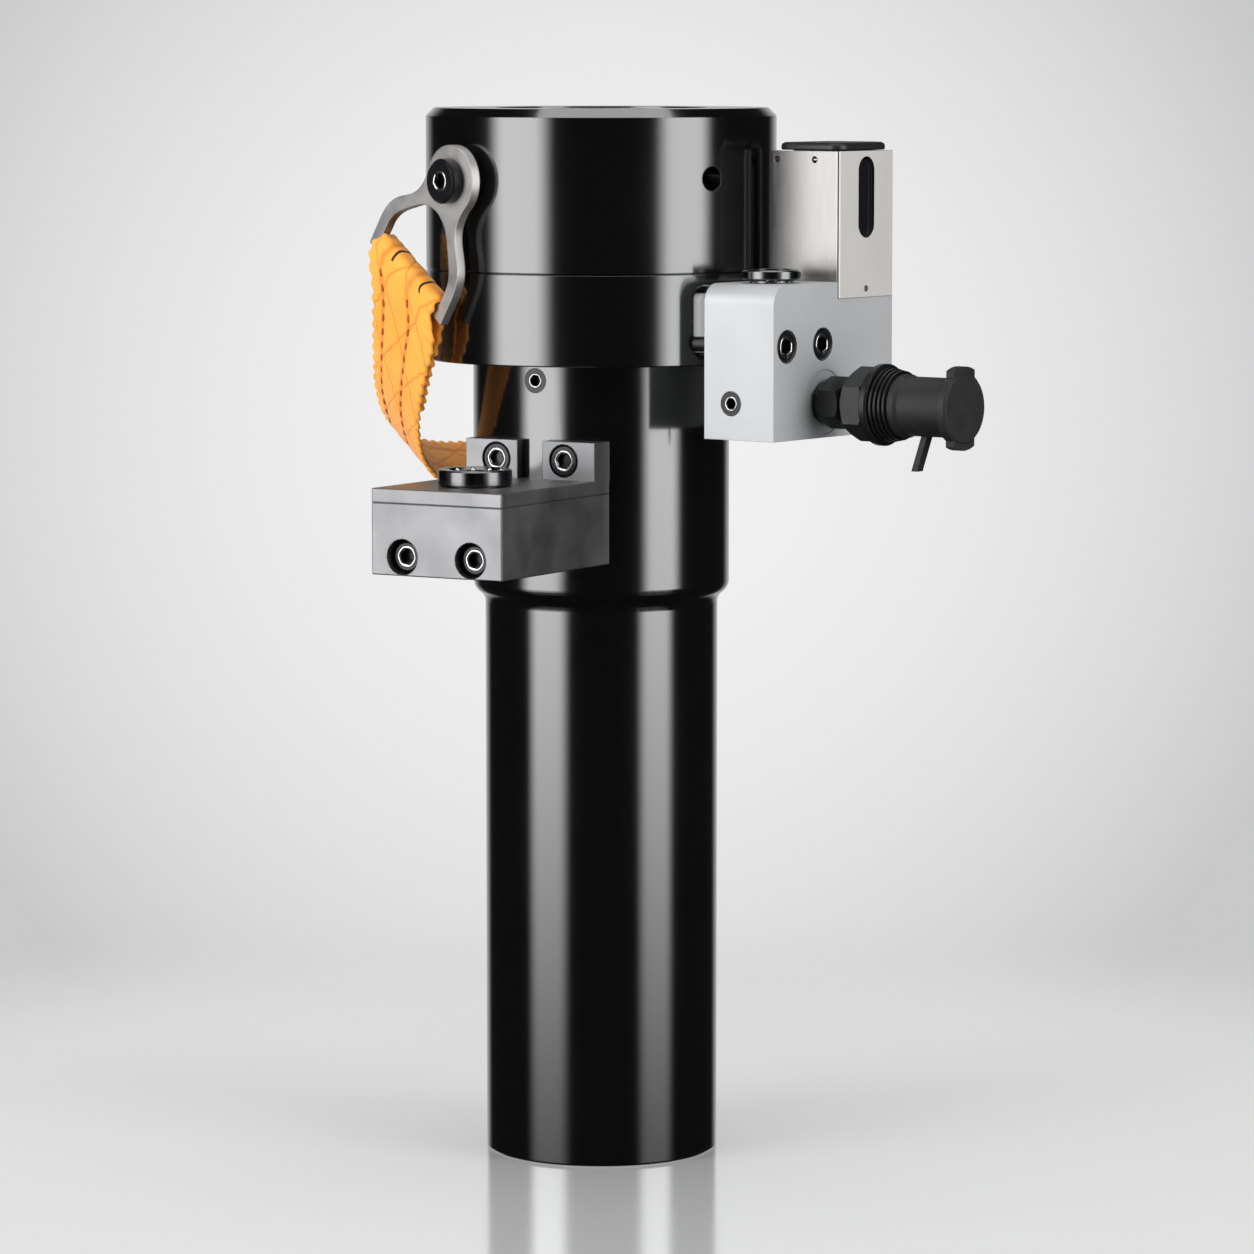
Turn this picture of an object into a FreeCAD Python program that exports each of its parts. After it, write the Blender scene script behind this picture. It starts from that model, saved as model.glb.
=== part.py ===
import FreeCAD, Part
import math
import os
import Sketcher

# Hydraulic bolt tensioner for large foundation bolts, with a geared drive for the nut socket.
# Origin: centre of the round foot. +Z runs up the tool, +X points out of the coupling block.
# Lengths are in millimetres, angles in degrees, and every driving size stands in this table.
SIZES = {
    # Gear train, which sets the bore of the barrel
    "gear_module": 2.0,
    "ring_teeth": 44.0,
    "idler_teeth": 22.0,
    "pinion_teeth": 15.0,
    "ring_gear_height": 15.0,
    "gear_height": 13.0,
    "tooth_backlash": 0.25,
    "pressure_angle": 20.0,
    "tip_clearance": 0.6,
    "axle_radius": 5.95,
    "bush_wall": 1.95,
    "fit_gap": 0.05,
    "running_gap": 0.3,
    "ball_seat": 0.05,
    # Bridge: the long tube, its flare and the barrel
    "barrel_wall": 8.4,
    "shoulder_width": 4.3,
    "tube_wall": 7.7,
    "foot_chamfer": 0.8,
    "recess_wall": 6.0,
    "recess_depth": 5.0,
    "tube_length": 238.0,
    "flare_height": 9.5,
    "shoulder_rise": 20.5,
    "barrel_length": 95.5,
    # Piston, puller and disc springs
    "stud_core_radius": 15.85,
    "stud_thread_length": 80.0,
    "puller_wall": 13.85,
    "puller_room": 6.0,
    "flange_lip": 14.3,
    "flange_thickness": 15.7,
    "drive_neck_radius": 22.0,
    "drive_neck_height": 20.0,
    "square_drive": 19.3,
    "square_depth": 22.0,
    "puller_edge": 1.0,
    "spring_room": 2.5,
    "spring_width": 13.5,
    "disc_count": 8.0,
    "disc_thickness": 2.6,
    "disc_cone": 1.61,
    "disc_gap": 0.02,
    "piston_gap": 0.1,
    "piston_lift": 2.0,
    "crown_gap": 1.0,
    "crown_thickness": 9.0,
    "crown_side_gap": 0.5,
    "seal_rise": 9.0,
    "seal_height": 4.0,
    "seal_width": 3.2,
    "groove_gap": 0.1,
    # Head
    "spigot_length": 18.0,
    "spigot_gap": 0.2,
    "cylinder_floor": 11.0,
    "body_height": 38.5,
    "hub_gap": 0.8,
    "hub_wall": 5.0,
    "hub_rise": 10.5,
    "chamber_width": 16.0,
    "port_radius": 2.0,
    "housing_gap": 2.0,
    "housing_wall": 13.0,
    "joint_spigot_step": 2.0,
    "joint_spigot_height": 16.5,
    "roof_thickness": 14.0,
    "head_chamfer": 3.5,
    "seam_chamfer": 0.5,
    "cover_pocket": 7.0,
    "cover_recess": 0.5,
    "cover_opening_radius": 38.0,
    "cover_ledge": 7.2,
    "cover_neck_gap": 2.0,
    "cover_screw_inset": 4.0,
    "cover_screw_count": 6.0,
    # Nut socket
    "socket_gap": 0.5,
    "socket_bottom": 6.0,
    "socket_room": 3.3,
    "socket_neck_wall": 5.0,
    "socket_rim": 3.5,
    "nut_flats": 61.0,
    "nut_pocket_depth": 44.0,
    "nut_lip": 1.5,
    "nut_lip_height": 4.0,
    "washer_thickness": 3.2,
    "ring_thickness": 1.9,
    "ring_slit": 8.0,
    "keeper_groove": 1.5,
    "keeper_width": 4.0,
    "snap_rise": 3.0,
    "snap_groove": 1.6,
    "snap_reach": 2.0,
    "snap_slit": 12.0,
    # Gearbox
    "gearbox_turn": -82.8,
    "gearbox_nose": 30.4,
    "gearbox_bite": 8.2,
    "gearbox_side_wall": 6.7,
    "gearbox_floor": 13.3,
    "gearbox_edge": 0.4,
    "gear_side_gap": 0.8,
    "gear_room": 1.0,
    "gear_headroom": 2.5,
    "plate_thickness": 6.0,
    "lug_height": 16.0,
    "lug_depth": 4.4,
    "lug_gap": 12.4,
    "gearbox_screw_offset": 16.5,
    "front_screw_rise": 7.8,
    "front_counterbore_radius": 7.5,
    "front_counterbore_depth": 11.5,
    "lug_counterbore_depth": 4.6,
    "gearbox_thread_end": 1.6,
    "plate_screw_inset": 6.4,
    "plate_screw_back": 11.0,
    "plate_screw_margin": 4.5,
    "bearing_wall": 2.5,
    "axle_seat": 4.0,
    "pinion_journal_radius": 7.0,
    "pinion_neck_radius": 12.5,
    "pinion_square": 12.9,
    "collar_wall": 2.9,
    "collar_height": 7.0,
    "collar_lip": 2.4,
    "collar_lip_width": 1.6,
    "collar_mouth": 1.2,
    "collar_ball_radius": 1.0,
    "collar_ball_count": 10.0,
    # Fasteners
    "screw_radius": 4.0,
    "screw_head_radius": 6.5,
    "screw_head_height": 8.0,
    "screw_socket": 6.0,
    "screw_socket_depth": 4.0,
    "screw_hole_gap": 0.5,
    "thread_gap": 0.1,
    "low_head_height": 4.4,
    "small_screw_radius": 2.0,
    "small_head_radius": 3.4,
    "small_head_height": 3.2,
    "small_socket": 3.0,
    "small_hole_gap": 0.2,
    "plug_radius": 5.1,
    "plug_length": 6.5,
    "plug_socket": 4.0,
    "plug_sink": 0.1,
    "barrel_plug_drop": 7.0,
    # Coupling block
    "block_standoff": 5.0,
    "block_depth": 35.5,
    "block_left": -33.5,
    "block_width": 85.5,
    "block_drop": 3.5,
    "block_height": 64.5,
    "block_round": 8.0,
    "notch_height": 7.0,
    "block_screw_margin": 9.5,
    "block_screw_spacing": 25.5,
    "block_screw_drop": 25.5,
    "block_counterbore_radius": 7.0,
    "block_counterbore_depth": 8.4,
    "block_thread_depth": 15.0,
    "block_plug_inset": 13.7,
    "block_plug_rise": 15.1,
    "adapter_margin": 6.0,
    "adapter_rise": 2.0,
    "adapter_drop": 1.0,
    "adapter_round": 6.0,
    "adapter_wrap": 22.0,
    # Release knob and its valve
    "knob_radius": 12.25,
    "knob_height": 4.2,
    "knob_recess_radius": 8.6,
    "knob_recess_depth": 2.4,
    "knob_edge": 0.6,
    "bonnet_radius": 9.0,
    "bonnet_rim": 1.1,
    "bonnet_thread_radius": 6.6,
    "bonnet_depth": 16.0,
    "stem_radius": 3.6,
    "stem_reach": 10.0,
    "stem_hole_gap": 0.4,
    "stem_end": 1.0,
    "stem_point": 4.0,
    "detent_ball_radius": 0.48,
    "detent_ball_count": 10.0,
    # Gauge cover with its counter capsule
    "cover_proud": 0.5,
    "cover_width": 40.0,
    "cover_sheet": 1.5,
    "cover_height": 54.4,
    "cover_flange": 6.0,
    "cover_bend": 1.2,
    "sheet_gap": 0.1,
    "slot_width": 11.6,
    "slot_rise": 18.0,
    "slot_drop": 2.4,
    "capsule_gap": 1.25,
    "capsule_edge": 2.0,
    "capsule_headroom": 1.0,
    "lid_proud": 3.6,
    "lid_depth": 3.4,
    "lid_inset": 0.2,
    "lid_corner": 11.0,
    "lid_edge": 1.0,
    "window_thickness": 2.0,
    "window_margin": 2.2,
    "rivet_hole_radius": 1.4,
    "rivet_drop": 3.6,
    # Hose coupling and its dust cap, measured outwards from the block's face
    "coupling_side": 3.0,
    "coupling_rise": 14.9,
    "spot_face_radius": 13.5,
    "spot_face_depth": 0.4,
    "port_thread_radius": 6.5,
    "port_thread_depth": 12.0,
    "coupling_neck_radius": 8.6,
    "coupling_neck_length": 2.0,
    "adapter_flats": 19.0,
    "adapter_hex_length": 11.0,
    "adapter_end": 1.5,
    "coupling_waist_radius": 8.4,
    "coupling_waist_length": 4.0,
    "coupling_collar": 1.6,
    "nipple_flats": 27.0,
    "nipple_hex_length": 11.0,
    "hex_edge": 1.4,
    "nipple_radius": 9.0,
    "nipple_length": 32.0,
    "nipple_edge": 1.5,
    "nipple_bore_radius": 3.0,
    "lock_ring_radius": 17.0,
    "lock_ring_flange": 3.7,
    "lock_ring_edge": 0.6,
    "rib_length": 7.7,
    "rib_radius": 15.6,
    "rib_depth": 1.3,
    "rib_taper": 0.4,
    "rib_count": 4.0,
    "cap_side_gap": 0.5,
    "cap_wall": 2.8,
    "cap_bead": 0.8,
    "cap_bead_length": 3.0,
    "cap_floor": 6.0,
    "cap_disc_step": 2.7,
    "cap_disc_thickness": 4.5,
    "cap_edge": 1.0,
    "cap_tab_step": 2.3,
    "cap_tab_width": 15.0,
    "cap_tail_at": 12.0,
    "cap_tail_length": 14.5,
    "cap_tail_width": 4.0,
    "cap_tail_thickness": 3.0,
    "cap_tail_lean": 20.0,
    # Carrying strap with its two hangers
    "hanger_turn": -101.9,
    "pivot_drop": 30.1,
    "hanger_standoff": 4.2,
    "hanger_thickness": 4.0,
    "hanger_ring_radius": 15.1,
    "hanger_hole_radius": 6.1,
    "hanger_half_width": 29.2,
    "hanger_bar_at": 50.0,
    "hanger_bar_width": 6.5,
    "strap_lean": 35.0,
    "shoulder_radius": 6.0,
    "hanger_head_radius": 9.4,
    "hanger_head_proud": 5.6,
    "hanger_thread_radius": 5.0,
    "hanger_thread_depth": 9.5,
    "spacer_radius": 9.5,
    "strap_width": 50.0,
    "strap_thickness": 2.8,
    "strap_sag": 100.0,
    "strap_fold_gap": 0.2,
    "strap_overlap": 8.0,
    "side_hole_turn": -14.3,
    "side_hole_radius": 5.1,
    "side_hole_drop": 29.0,
    "side_hole_depth": 10.0,
}


class Size:
    """A number together with the sheet expression that gives it."""

    def __init__(self, value, text=None):
        self.value = float(value)
        self.text = text or repr(float(value))

    def __add__(self, other):
        other = size(other)
        return Size(self.value + other.value, f"({self.text} + {other.text})")

    def __radd__(self, other):
        return size(other) + self

    def __sub__(self, other):
        other = size(other)
        return Size(self.value - other.value, f"({self.text} - {other.text})")

    def __rsub__(self, other):
        return size(other) - self

    def __mul__(self, other):
        other = size(other)
        return Size(self.value * other.value, f"({self.text} * {other.text})")

    def __rmul__(self, other):
        return size(other) * self

    def __truediv__(self, other):
        other = size(other)
        return Size(self.value / other.value, f"({self.text} / {other.text})")

    def __rtruediv__(self, other):
        return size(other) / self

    def __neg__(self):
        return Size(-self.value, f"(0 - {self.text})")


def size(number):
    """Wraps a plain number as a Size."""
    return number if isinstance(number, Size) else Size(number)


def cosine(angle):
    """The cosine of an angle in degrees, as a Size."""
    angle = size(angle)
    return Size(math.cos(math.radians(angle.value)), f"cos({angle.text})")


def sine(angle):
    """The sine of an angle in degrees, as a Size."""
    angle = size(angle)
    return Size(math.sin(math.radians(angle.value)), f"sin({angle.text})")


doc = FreeCAD.newDocument("BoltTensioner")
sheet = doc.addObject("Spreadsheet::Sheet", "Sizes")
for row, (alias, number) in enumerate(SIZES.items(), start=1):
    sheet.set(f"A{row}", alias)
    sheet.set(f"B{row}", str(number))
    sheet.setAlias(f"B{row}", alias)
doc.recompute()


class Sheet:
    """Gives each named value of the sheet as a Size."""

    def __getattr__(self, alias):
        return Size(sheet.get(alias), f"Sizes.{alias}")


S = Sheet()
NODES = []
UP = FreeCAD.Vector(0, 0, 1)
OUT = FreeCAD.Vector(1, 0, 0)
SIDE = FreeCAD.Vector(0, 1, 0)


def bind(item, **values):
    """Binds properties of an object to the sheet."""
    for name, value in values.items():
        item.setExpression(name, size(value).text)


def place(item, at=(0, 0, 0), axis=UP):
    """Turns an object's Z axis to the given axis and moves its origin to the given place."""
    item.Placement = FreeCAD.Placement(FreeCAD.Vector(0, 0, 0), FreeCAD.Rotation(UP, axis))
    for name, value in zip("xyz", at):
        item.setExpression(f"Placement.Base.{name}", size(value).text)
    return item


def node(item, label, turn=0, at=(0, 0, 0)):
    """Makes an object a sub-part: its label, and its turn about and place on the tool's axis."""
    item.Label = label
    item.setExpression("Placement.Rotation.Angle", size(turn).text)
    for name, value in zip("xyz", at):
        item.setExpression(f"Placement.Base.{name}", size(value).text)
    NODES.append(item)
    return item


def flat(point):
    """The place of an outline's point as a vector."""
    return FreeCAD.Vector(size(point[0]).value, size(point[1]).value, 0)


def sketch_on(body, plane_role, outline):
    """Draws a closed outline in a body. A third entry (x, y, radius) bulges the line that follows."""
    plane = [item for item in body.Origin.OriginFeatures if item.Role == plane_role][0]
    sketch = body.newObject("Sketcher::SketchObject", body.Name + "Sketch")
    sketch.AttachmentSupport = [(plane, "")]
    sketch.MapMode = "FlatFace"
    lines = []
    for start, end in zip(outline, outline[1:] + outline[:1]):
        if len(start) == 3:
            lines.append(Part.Arc(flat(start), flat(start[2]), flat(end)))
        else:
            lines.append(Part.LineSegment(flat(start), flat(end)))
    sketch.addGeometry(lines, False)

    def first_end(index):
        near = (sketch.getPoint(index, 1) - flat(outline[index])).Length < 1e-6
        return 1 if near else 2

    rules = []
    bound = []
    for index, point in enumerate(outline):
        after = (index + 1) % len(outline)
        rules.append(Sketcher.Constraint("Coincident", index, 3 - first_end(index), after, first_end(after)))
        for name, value in zip(("DistanceX", "DistanceY"), point):
            bound.append((len(rules), size(value).text))
            rules.append(Sketcher.Constraint(name, -1, 1, index, first_end(index), size(value).value))
        if len(point) == 3:
            bound.append((len(rules), size(point[2][2]).text))
            rules.append(Sketcher.Constraint("Radius", index, size(point[2][2]).value))
    sketch.addConstraint(rules)
    for index, text in bound:
        sketch.setExpression(f"Constraints[{index}]", text)
    return sketch


def turned(name, outline):
    """A piece turned about Z from an outline of radius and height."""
    body = doc.addObject("PartDesign::Body", name)
    sketch = sketch_on(body, "XZ_Plane", outline)
    feature = body.newObject("PartDesign::Revolution", name + "Turn")
    feature.Profile = sketch
    feature.ReferenceAxis = (sketch, ["V_Axis"])
    feature.Angle = 360
    return body


def plate(name, outline, bottom, top):
    """A flat piece from an outline in X and Y, between two heights."""
    body = doc.addObject("PartDesign::Body", name)
    sketch = sketch_on(body, "XY_Plane", outline)
    sketch.setExpression("AttachmentOffset.Base.z", size(bottom).text)
    feature = body.newObject("PartDesign::Pad", name + "Pad")
    feature.Profile = sketch
    feature.setExpression("Length", (size(top) - bottom).text)
    return body


def ring(name, inner, outer, bottom, top):
    """A plain ring about Z."""
    return turned(name, [(inner, bottom), (outer, bottom), (outer, top), (inner, top)])


def rod(name, radius, length, at=(0, 0, 0), axis=UP):
    """A round rod that starts at a place and runs along an axis."""
    item = doc.addObject("Part::Cylinder", name)
    bind(item, Radius=radius, Height=length)
    return place(item, at, axis)


def block(name, low, high):
    """A box between two corners."""
    item = doc.addObject("Part::Box", name)
    bind(item, Length=size(high[0]) - low[0], Width=size(high[1]) - low[1], Height=size(high[2]) - low[2])
    return place(item, low)


def hexagon(name, flats, length, at=(0, 0, 0), axis=UP):
    """A six-sided bar given by its width across flats."""
    item = doc.addObject("Part::Prism", name)
    item.Polygon = 6
    bind(item, Circumradius=size(flats) / math.sqrt(3), Height=length)
    return place(item, at, axis)


def eased_hexagon(name, flats, bottom, top):
    """A hexagon nut's body, its corners turned off to a cone at both ends."""
    reach = size(flats) / math.sqrt(3)
    edge = S.hex_edge
    slope = reach - size(flats) / 2 + 0.2
    lathe = turned(
        name + "Lathe",
        [
            (0, bottom),
            (reach - slope, bottom),
            (reach, bottom + edge),
            (reach, top - edge),
            (reach - slope, top),
            (0, top),
        ],
    )
    return common(name, hexagon(name + "Bar", flats, size(top) - bottom, (0, 0, bottom)), lathe)


def ball(name, radius, at):
    """A ball round a place."""
    item = doc.addObject("Part::Sphere", name)
    bind(item, Radius=radius)
    return place(item, at)


def join(name, pieces):
    """Fuses pieces into one solid."""
    item = doc.addObject("Part::MultiFuse", name)
    item.Shapes = pieces
    return item


def cut(name, base, tools):
    """Cuts tools out of a base."""
    item = doc.addObject("Part::Cut", name)
    item.Base = base
    item.Tool = tools[0] if len(tools) == 1 else join(name + "Tools", tools)
    return item


def common(name, base, tool):
    """Keeps what two pieces share."""
    item = doc.addObject("Part::Common", name)
    item.Base = base
    item.Tool = tool
    return item


def group(name, pieces):
    """Keeps like pieces together as separate solids."""
    item = doc.addObject("Part::Compound", name)
    item.Links = pieces
    return item


def shaped(name, shape):
    """A piece whose shape is worked out below from the sheet's sizes."""
    item = doc.addObject("Part::Feature", name)
    item.Shape = shape
    return item


def chamfered(name, base, width, chosen):
    """Chamfers the edges of a base that a test picks."""
    doc.recompute()
    item = doc.addObject("Part::Chamfer", name)
    item.Base = base
    picked = [number for number, edge in enumerate(base.Shape.Edges, start=1) if chosen(edge)]
    item.Edges = [(number, size(width).value, size(width).value) for number in picked]
    return item


def filleted(name, base, radius, chosen):
    """Rounds the edges of a base that a test picks."""
    doc.recompute()
    item = doc.addObject("Part::Fillet", name)
    item.Base = base
    picked = [number for number, edge in enumerate(base.Shape.Edges, start=1) if chosen(edge)]
    item.Edges = [(number, size(radius).value, size(radius).value) for number in picked]
    return item


def polar(radius, angle):
    """X and Y of a place at a radius and an angle."""
    return size(radius) * cosine(angle), size(radius) * sine(angle)


def screw(name, at, axis, shank, head_radius, head_height, shank_radius, socket, depth):
    """A cap screw: its seat lies at the given place and its head points along the axis."""
    edge = head_height * 0.12
    body = turned(
        name + "Blank",
        [
            (0, -size(shank)),
            (shank_radius, -size(shank)),
            (shank_radius, 0),
            (head_radius, 0),
            (head_radius, head_height - edge),
            (head_radius - edge, head_height),
            (0, head_height),
        ],
    )
    key = hexagon(name + "Key", socket, depth, (0, 0, head_height - depth))
    return place(cut(name, body, [key]), at, axis)


def cap_screw(name, at, axis, shank):
    """The standard cap screw of the tool."""
    return screw(name, at, axis, shank, S.screw_head_radius, S.screw_head_height, S.screw_radius,
                 S.screw_socket, S.screw_socket_depth)


def low_screw(name, at, axis, shank):
    """The same thread with a low head."""
    return screw(name, at, axis, shank, S.screw_head_radius, S.low_head_height, S.screw_radius,
                 S.screw_socket, S.low_head_height * 0.6)


def small_screw(name, at, axis, shank):
    """The small cap screw of the covers."""
    return screw(name, at, axis, shank, S.small_head_radius, S.small_head_height, S.small_screw_radius,
                 S.small_socket, S.small_head_height * 0.6)


def plug(name, at, axis):
    """A threaded plug, flush with the face it stands in, with a hexagon socket."""
    blank = rod(name + "Blank", S.plug_radius, S.plug_length)
    key = hexagon(name + "Key", S.plug_socket, S.plug_length * 0.6, (0, 0, S.plug_length * 0.4))
    return place(cut(name, blank, [key]), at, axis)


# Sizes that several pieces share, from the bore of the barrel outwards and from the foot upwards
RING_TIP = S.gear_module * (S.ring_teeth / 2 + 1)
BARREL_BORE = RING_TIP + S.tip_clearance
BARREL_RADIUS = BARREL_BORE + S.barrel_wall
TUBE_BORE = BARREL_BORE - S.shoulder_width
TUBE_RADIUS = TUBE_BORE + S.tube_wall
RECESS_RADIUS = TUBE_RADIUS - S.recess_wall
FLARE_TOP = S.tube_length + S.flare_height
SHOULDER = FLARE_TOP + S.shoulder_rise
HEAD_BOTTOM = FLARE_TOP + S.barrel_length

# Gear train
WASHER_TOP = SHOULDER + S.washer_thickness
RING_BOTTOM = WASHER_TOP + S.running_gap
GEAR_TOP = RING_BOTTOM + S.ring_gear_height
GEAR_BOTTOM = GEAR_TOP - S.gear_height
IDLER_OUT = S.gear_module * (S.ring_teeth + S.idler_teeth) / 2
PINION_OUT = IDLER_OUT + S.gear_module * (S.idler_teeth + S.pinion_teeth) / 2
IDLER_POCKET = S.gear_module * (S.idler_teeth / 2 + 1) + S.gear_side_gap
PINION_POCKET = S.gear_module * (S.pinion_teeth / 2 + 1) + S.gear_side_gap
SNAP_BOTTOM = GEAR_TOP + S.snap_rise
SNAP_GROOVE = BARREL_BORE + S.snap_groove
SPIGOT_OUTER = BARREL_BORE - S.spigot_gap

# Nut socket and puller
PULLER_RADIUS = S.stud_core_radius + S.puller_wall
SOCKET_BORE = PULLER_RADIUS + S.socket_room
SOCKET_NECK = SOCKET_BORE + S.socket_neck_wall
SOCKET_RADIUS = TUBE_BORE - S.socket_gap
SOCKET_TOP = GEAR_TOP + S.socket_rim
PULLER_BOTTOM = SOCKET_TOP + S.puller_room
FLANGE_RADIUS = PULLER_RADIUS + S.flange_lip

# Head
SEAM = HEAD_BOTTOM + S.body_height
HUB_TOP = SEAM + S.hub_rise
HUB_BORE = PULLER_RADIUS + S.hub_gap
CHAMBER_FLOOR = HEAD_BOTTOM + S.cylinder_floor
CHAMBER_INNER = HUB_BORE + S.hub_wall
CHAMBER_OUTER = CHAMBER_INNER + S.chamber_width
CROWN_BOTTOM = HUB_TOP + S.crown_gap
CROWN_TOP = CROWN_BOTTOM + S.crown_thickness
CROWN_BORE = PULLER_RADIUS + S.crown_side_gap
SEAL_BOTTOM = CHAMBER_FLOOR + S.seal_rise
FLANGE_BOTTOM = CROWN_TOP + S.running_gap
FLANGE_TOP = FLANGE_BOTTOM + S.flange_thickness
DRIVE_NECK_TOP = FLANGE_TOP + S.drive_neck_height
SPRING_INNER = FLANGE_RADIUS + S.spring_room
SPRING_OUTER = SPRING_INNER + S.spring_width
DISC_PITCH = S.disc_thickness + S.disc_cone + S.disc_gap * 2
ROOF_BOTTOM = CROWN_TOP + DISC_PITCH * S.disc_count
HEAD_TOP = ROOF_BOTTOM + S.roof_thickness
HOUSING_BORE = SPRING_OUTER + S.housing_gap
HEAD_RADIUS = HOUSING_BORE + S.housing_wall
JOINT_SPIGOT = HOUSING_BORE + S.joint_spigot_step
JOINT_TOP = SEAM + S.joint_spigot_height
COVER_SEAT = HEAD_TOP - S.cover_pocket
COVER_RADIUS = S.cover_opening_radius + S.cover_ledge
COVER_BORE = S.drive_neck_radius + S.cover_neck_gap
COVER_SCREWS = COVER_RADIUS - S.cover_screw_inset

# Gearbox
GEAR_FLOOR = GEAR_BOTTOM - S.gear_room
GEARBOX_BOTTOM = GEAR_FLOOR - S.gearbox_floor
GEARBOX_SEAM = GEAR_TOP + S.gear_headroom
PLATE_TOP = GEARBOX_SEAM + S.plate_thickness
LUG_TOP = PLATE_TOP + S.lug_height
LUG_FRONT = BARREL_RADIUS + S.lug_depth
GEARBOX_FRONT = PINION_OUT + S.gearbox_nose
GEARBOX_BACK = BARREL_RADIUS - S.gearbox_bite
GEARBOX_HALF = IDLER_POCKET + S.gearbox_side_wall
FRONT_SCREW = GEARBOX_BOTTOM + S.front_screw_rise
LUG_SCREW = PLATE_TOP + S.lug_height / 2
GEARBOX_THREAD_END = BARREL_BORE - S.gearbox_thread_end
JOURNAL_BOTTOM = GEARBOX_BOTTOM + S.bearing_wall
COLLAR_TOP = PLATE_TOP + S.collar_height
COLLAR_RADIUS = S.pinion_neck_radius + S.collar_wall
COLLAR_OPENING = S.pinion_neck_radius - S.collar_lip_width
BARREL_PLUG = HEAD_BOTTOM - S.barrel_plug_drop
PLATE_SCREWS = [(out, (GEARBOX_HALF - S.plate_screw_margin) * side)
                for out in (GEARBOX_FRONT - S.plate_screw_inset, PINION_OUT - S.plate_screw_back)
                for side in (-1, 1)]
PINION_SEAT = COLLAR_TOP - S.collar_lip

# Coupling block, knob and gauge cover
BLOCK_BACK = HEAD_RADIUS + S.block_standoff
BLOCK_FRONT = BLOCK_BACK + S.block_depth
BLOCK_RIGHT = S.block_left + S.block_width
BLOCK_TOP = SEAM - S.block_drop
BLOCK_BOTTOM = BLOCK_TOP - S.block_height
BLOCK_SCREW = BLOCK_TOP - S.block_screw_drop
BLOCK_SCREWS = (S.block_left + S.block_screw_margin,
                S.block_left + S.block_screw_margin + S.block_screw_spacing)
BLOCK_THREAD_END = HEAD_RADIUS - S.block_thread_depth
BLOCK_PLUG_OUT = BLOCK_BACK + S.block_plug_inset
BLOCK_PLUG = BLOCK_BOTTOM + S.block_plug_rise
ADAPTER_BOTTOM = HEAD_BOTTOM + S.adapter_rise
ADAPTER_TOP = BLOCK_TOP - S.adapter_drop
ADAPTER_LEFT = S.block_left + S.adapter_margin
ADAPTER_RIGHT = BLOCK_RIGHT - S.adapter_margin
COVER_LEFT = BLOCK_RIGHT - S.cover_width
COVER_BACK = BLOCK_BACK + S.cover_proud
COVER_FRONT = BLOCK_FRONT + S.cover_proud
COVER_TOP = BLOCK_TOP + S.cover_height
SLOT_SIDE = (COVER_LEFT + BLOCK_RIGHT) / 2
SLOT_BOTTOM = BLOCK_TOP + S.slot_rise
SLOT_TOP = COVER_TOP - S.slot_drop
LID_TOP = COVER_TOP + S.lid_proud
LID_BOTTOM = COVER_TOP - S.lid_depth
CAPSULE_TOP = LID_BOTTOM - S.capsule_headroom
CAPSULE_OUT = (COVER_BACK + COVER_FRONT) / 2
CAPSULE_RADIUS = COVER_FRONT - S.cover_sheet - S.window_thickness - S.capsule_gap - CAPSULE_OUT
KNOB_OUT = (BLOCK_BACK + BLOCK_FRONT) / 2
KNOB_SIDE = (S.block_left + COVER_LEFT) / 2
BONNET_TOP = BLOCK_TOP + S.bonnet_rim
KNOB_BOTTOM = BONNET_TOP + S.running_gap
KNOB_TOP = KNOB_BOTTOM + S.knob_height
STEM_TIP = BLOCK_TOP - S.bonnet_depth - S.stem_reach

# Hose coupling, along its own axis
COUPLING_HEIGHT = BLOCK_BOTTOM + S.coupling_rise
ADAPTER_HEX_END = S.coupling_neck_length + S.adapter_hex_length
NIPPLE_HEX_START = ADAPTER_HEX_END + S.coupling_waist_length
NIPPLE_HEX_END = NIPPLE_HEX_START + S.nipple_hex_length
NIPPLE_TIP = NIPPLE_HEX_END + S.nipple_length
LOCK_RING_START = NIPPLE_HEX_END + S.running_gap
LOCK_RING_END = LOCK_RING_START + S.lock_ring_flange
RIB_END = LOCK_RING_END + S.rib_length
CAP_START = RIB_END + S.running_gap
CAP_BORE = S.nipple_radius + S.cap_side_gap
CAP_RADIUS = CAP_BORE + S.cap_wall
CAP_DISC_START = NIPPLE_TIP + S.cap_floor
CAP_DISC_RADIUS = CAP_RADIUS + S.cap_disc_step
CAP_END = CAP_DISC_START + S.cap_disc_thickness
CAP_TAB_REACH = CAP_DISC_RADIUS + S.cap_tab_step

# Hangers and strap
PIVOT_HEIGHT = HEAD_TOP - S.pivot_drop
HANGER_INNER = HEAD_RADIUS + S.hanger_standoff
HANGER_OUTER = HANGER_INNER + S.hanger_thickness
HANGER_THREAD_END = HEAD_RADIUS - S.hanger_thread_depth
SIDE_HOLE = HEAD_TOP - S.side_hole_drop


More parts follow.
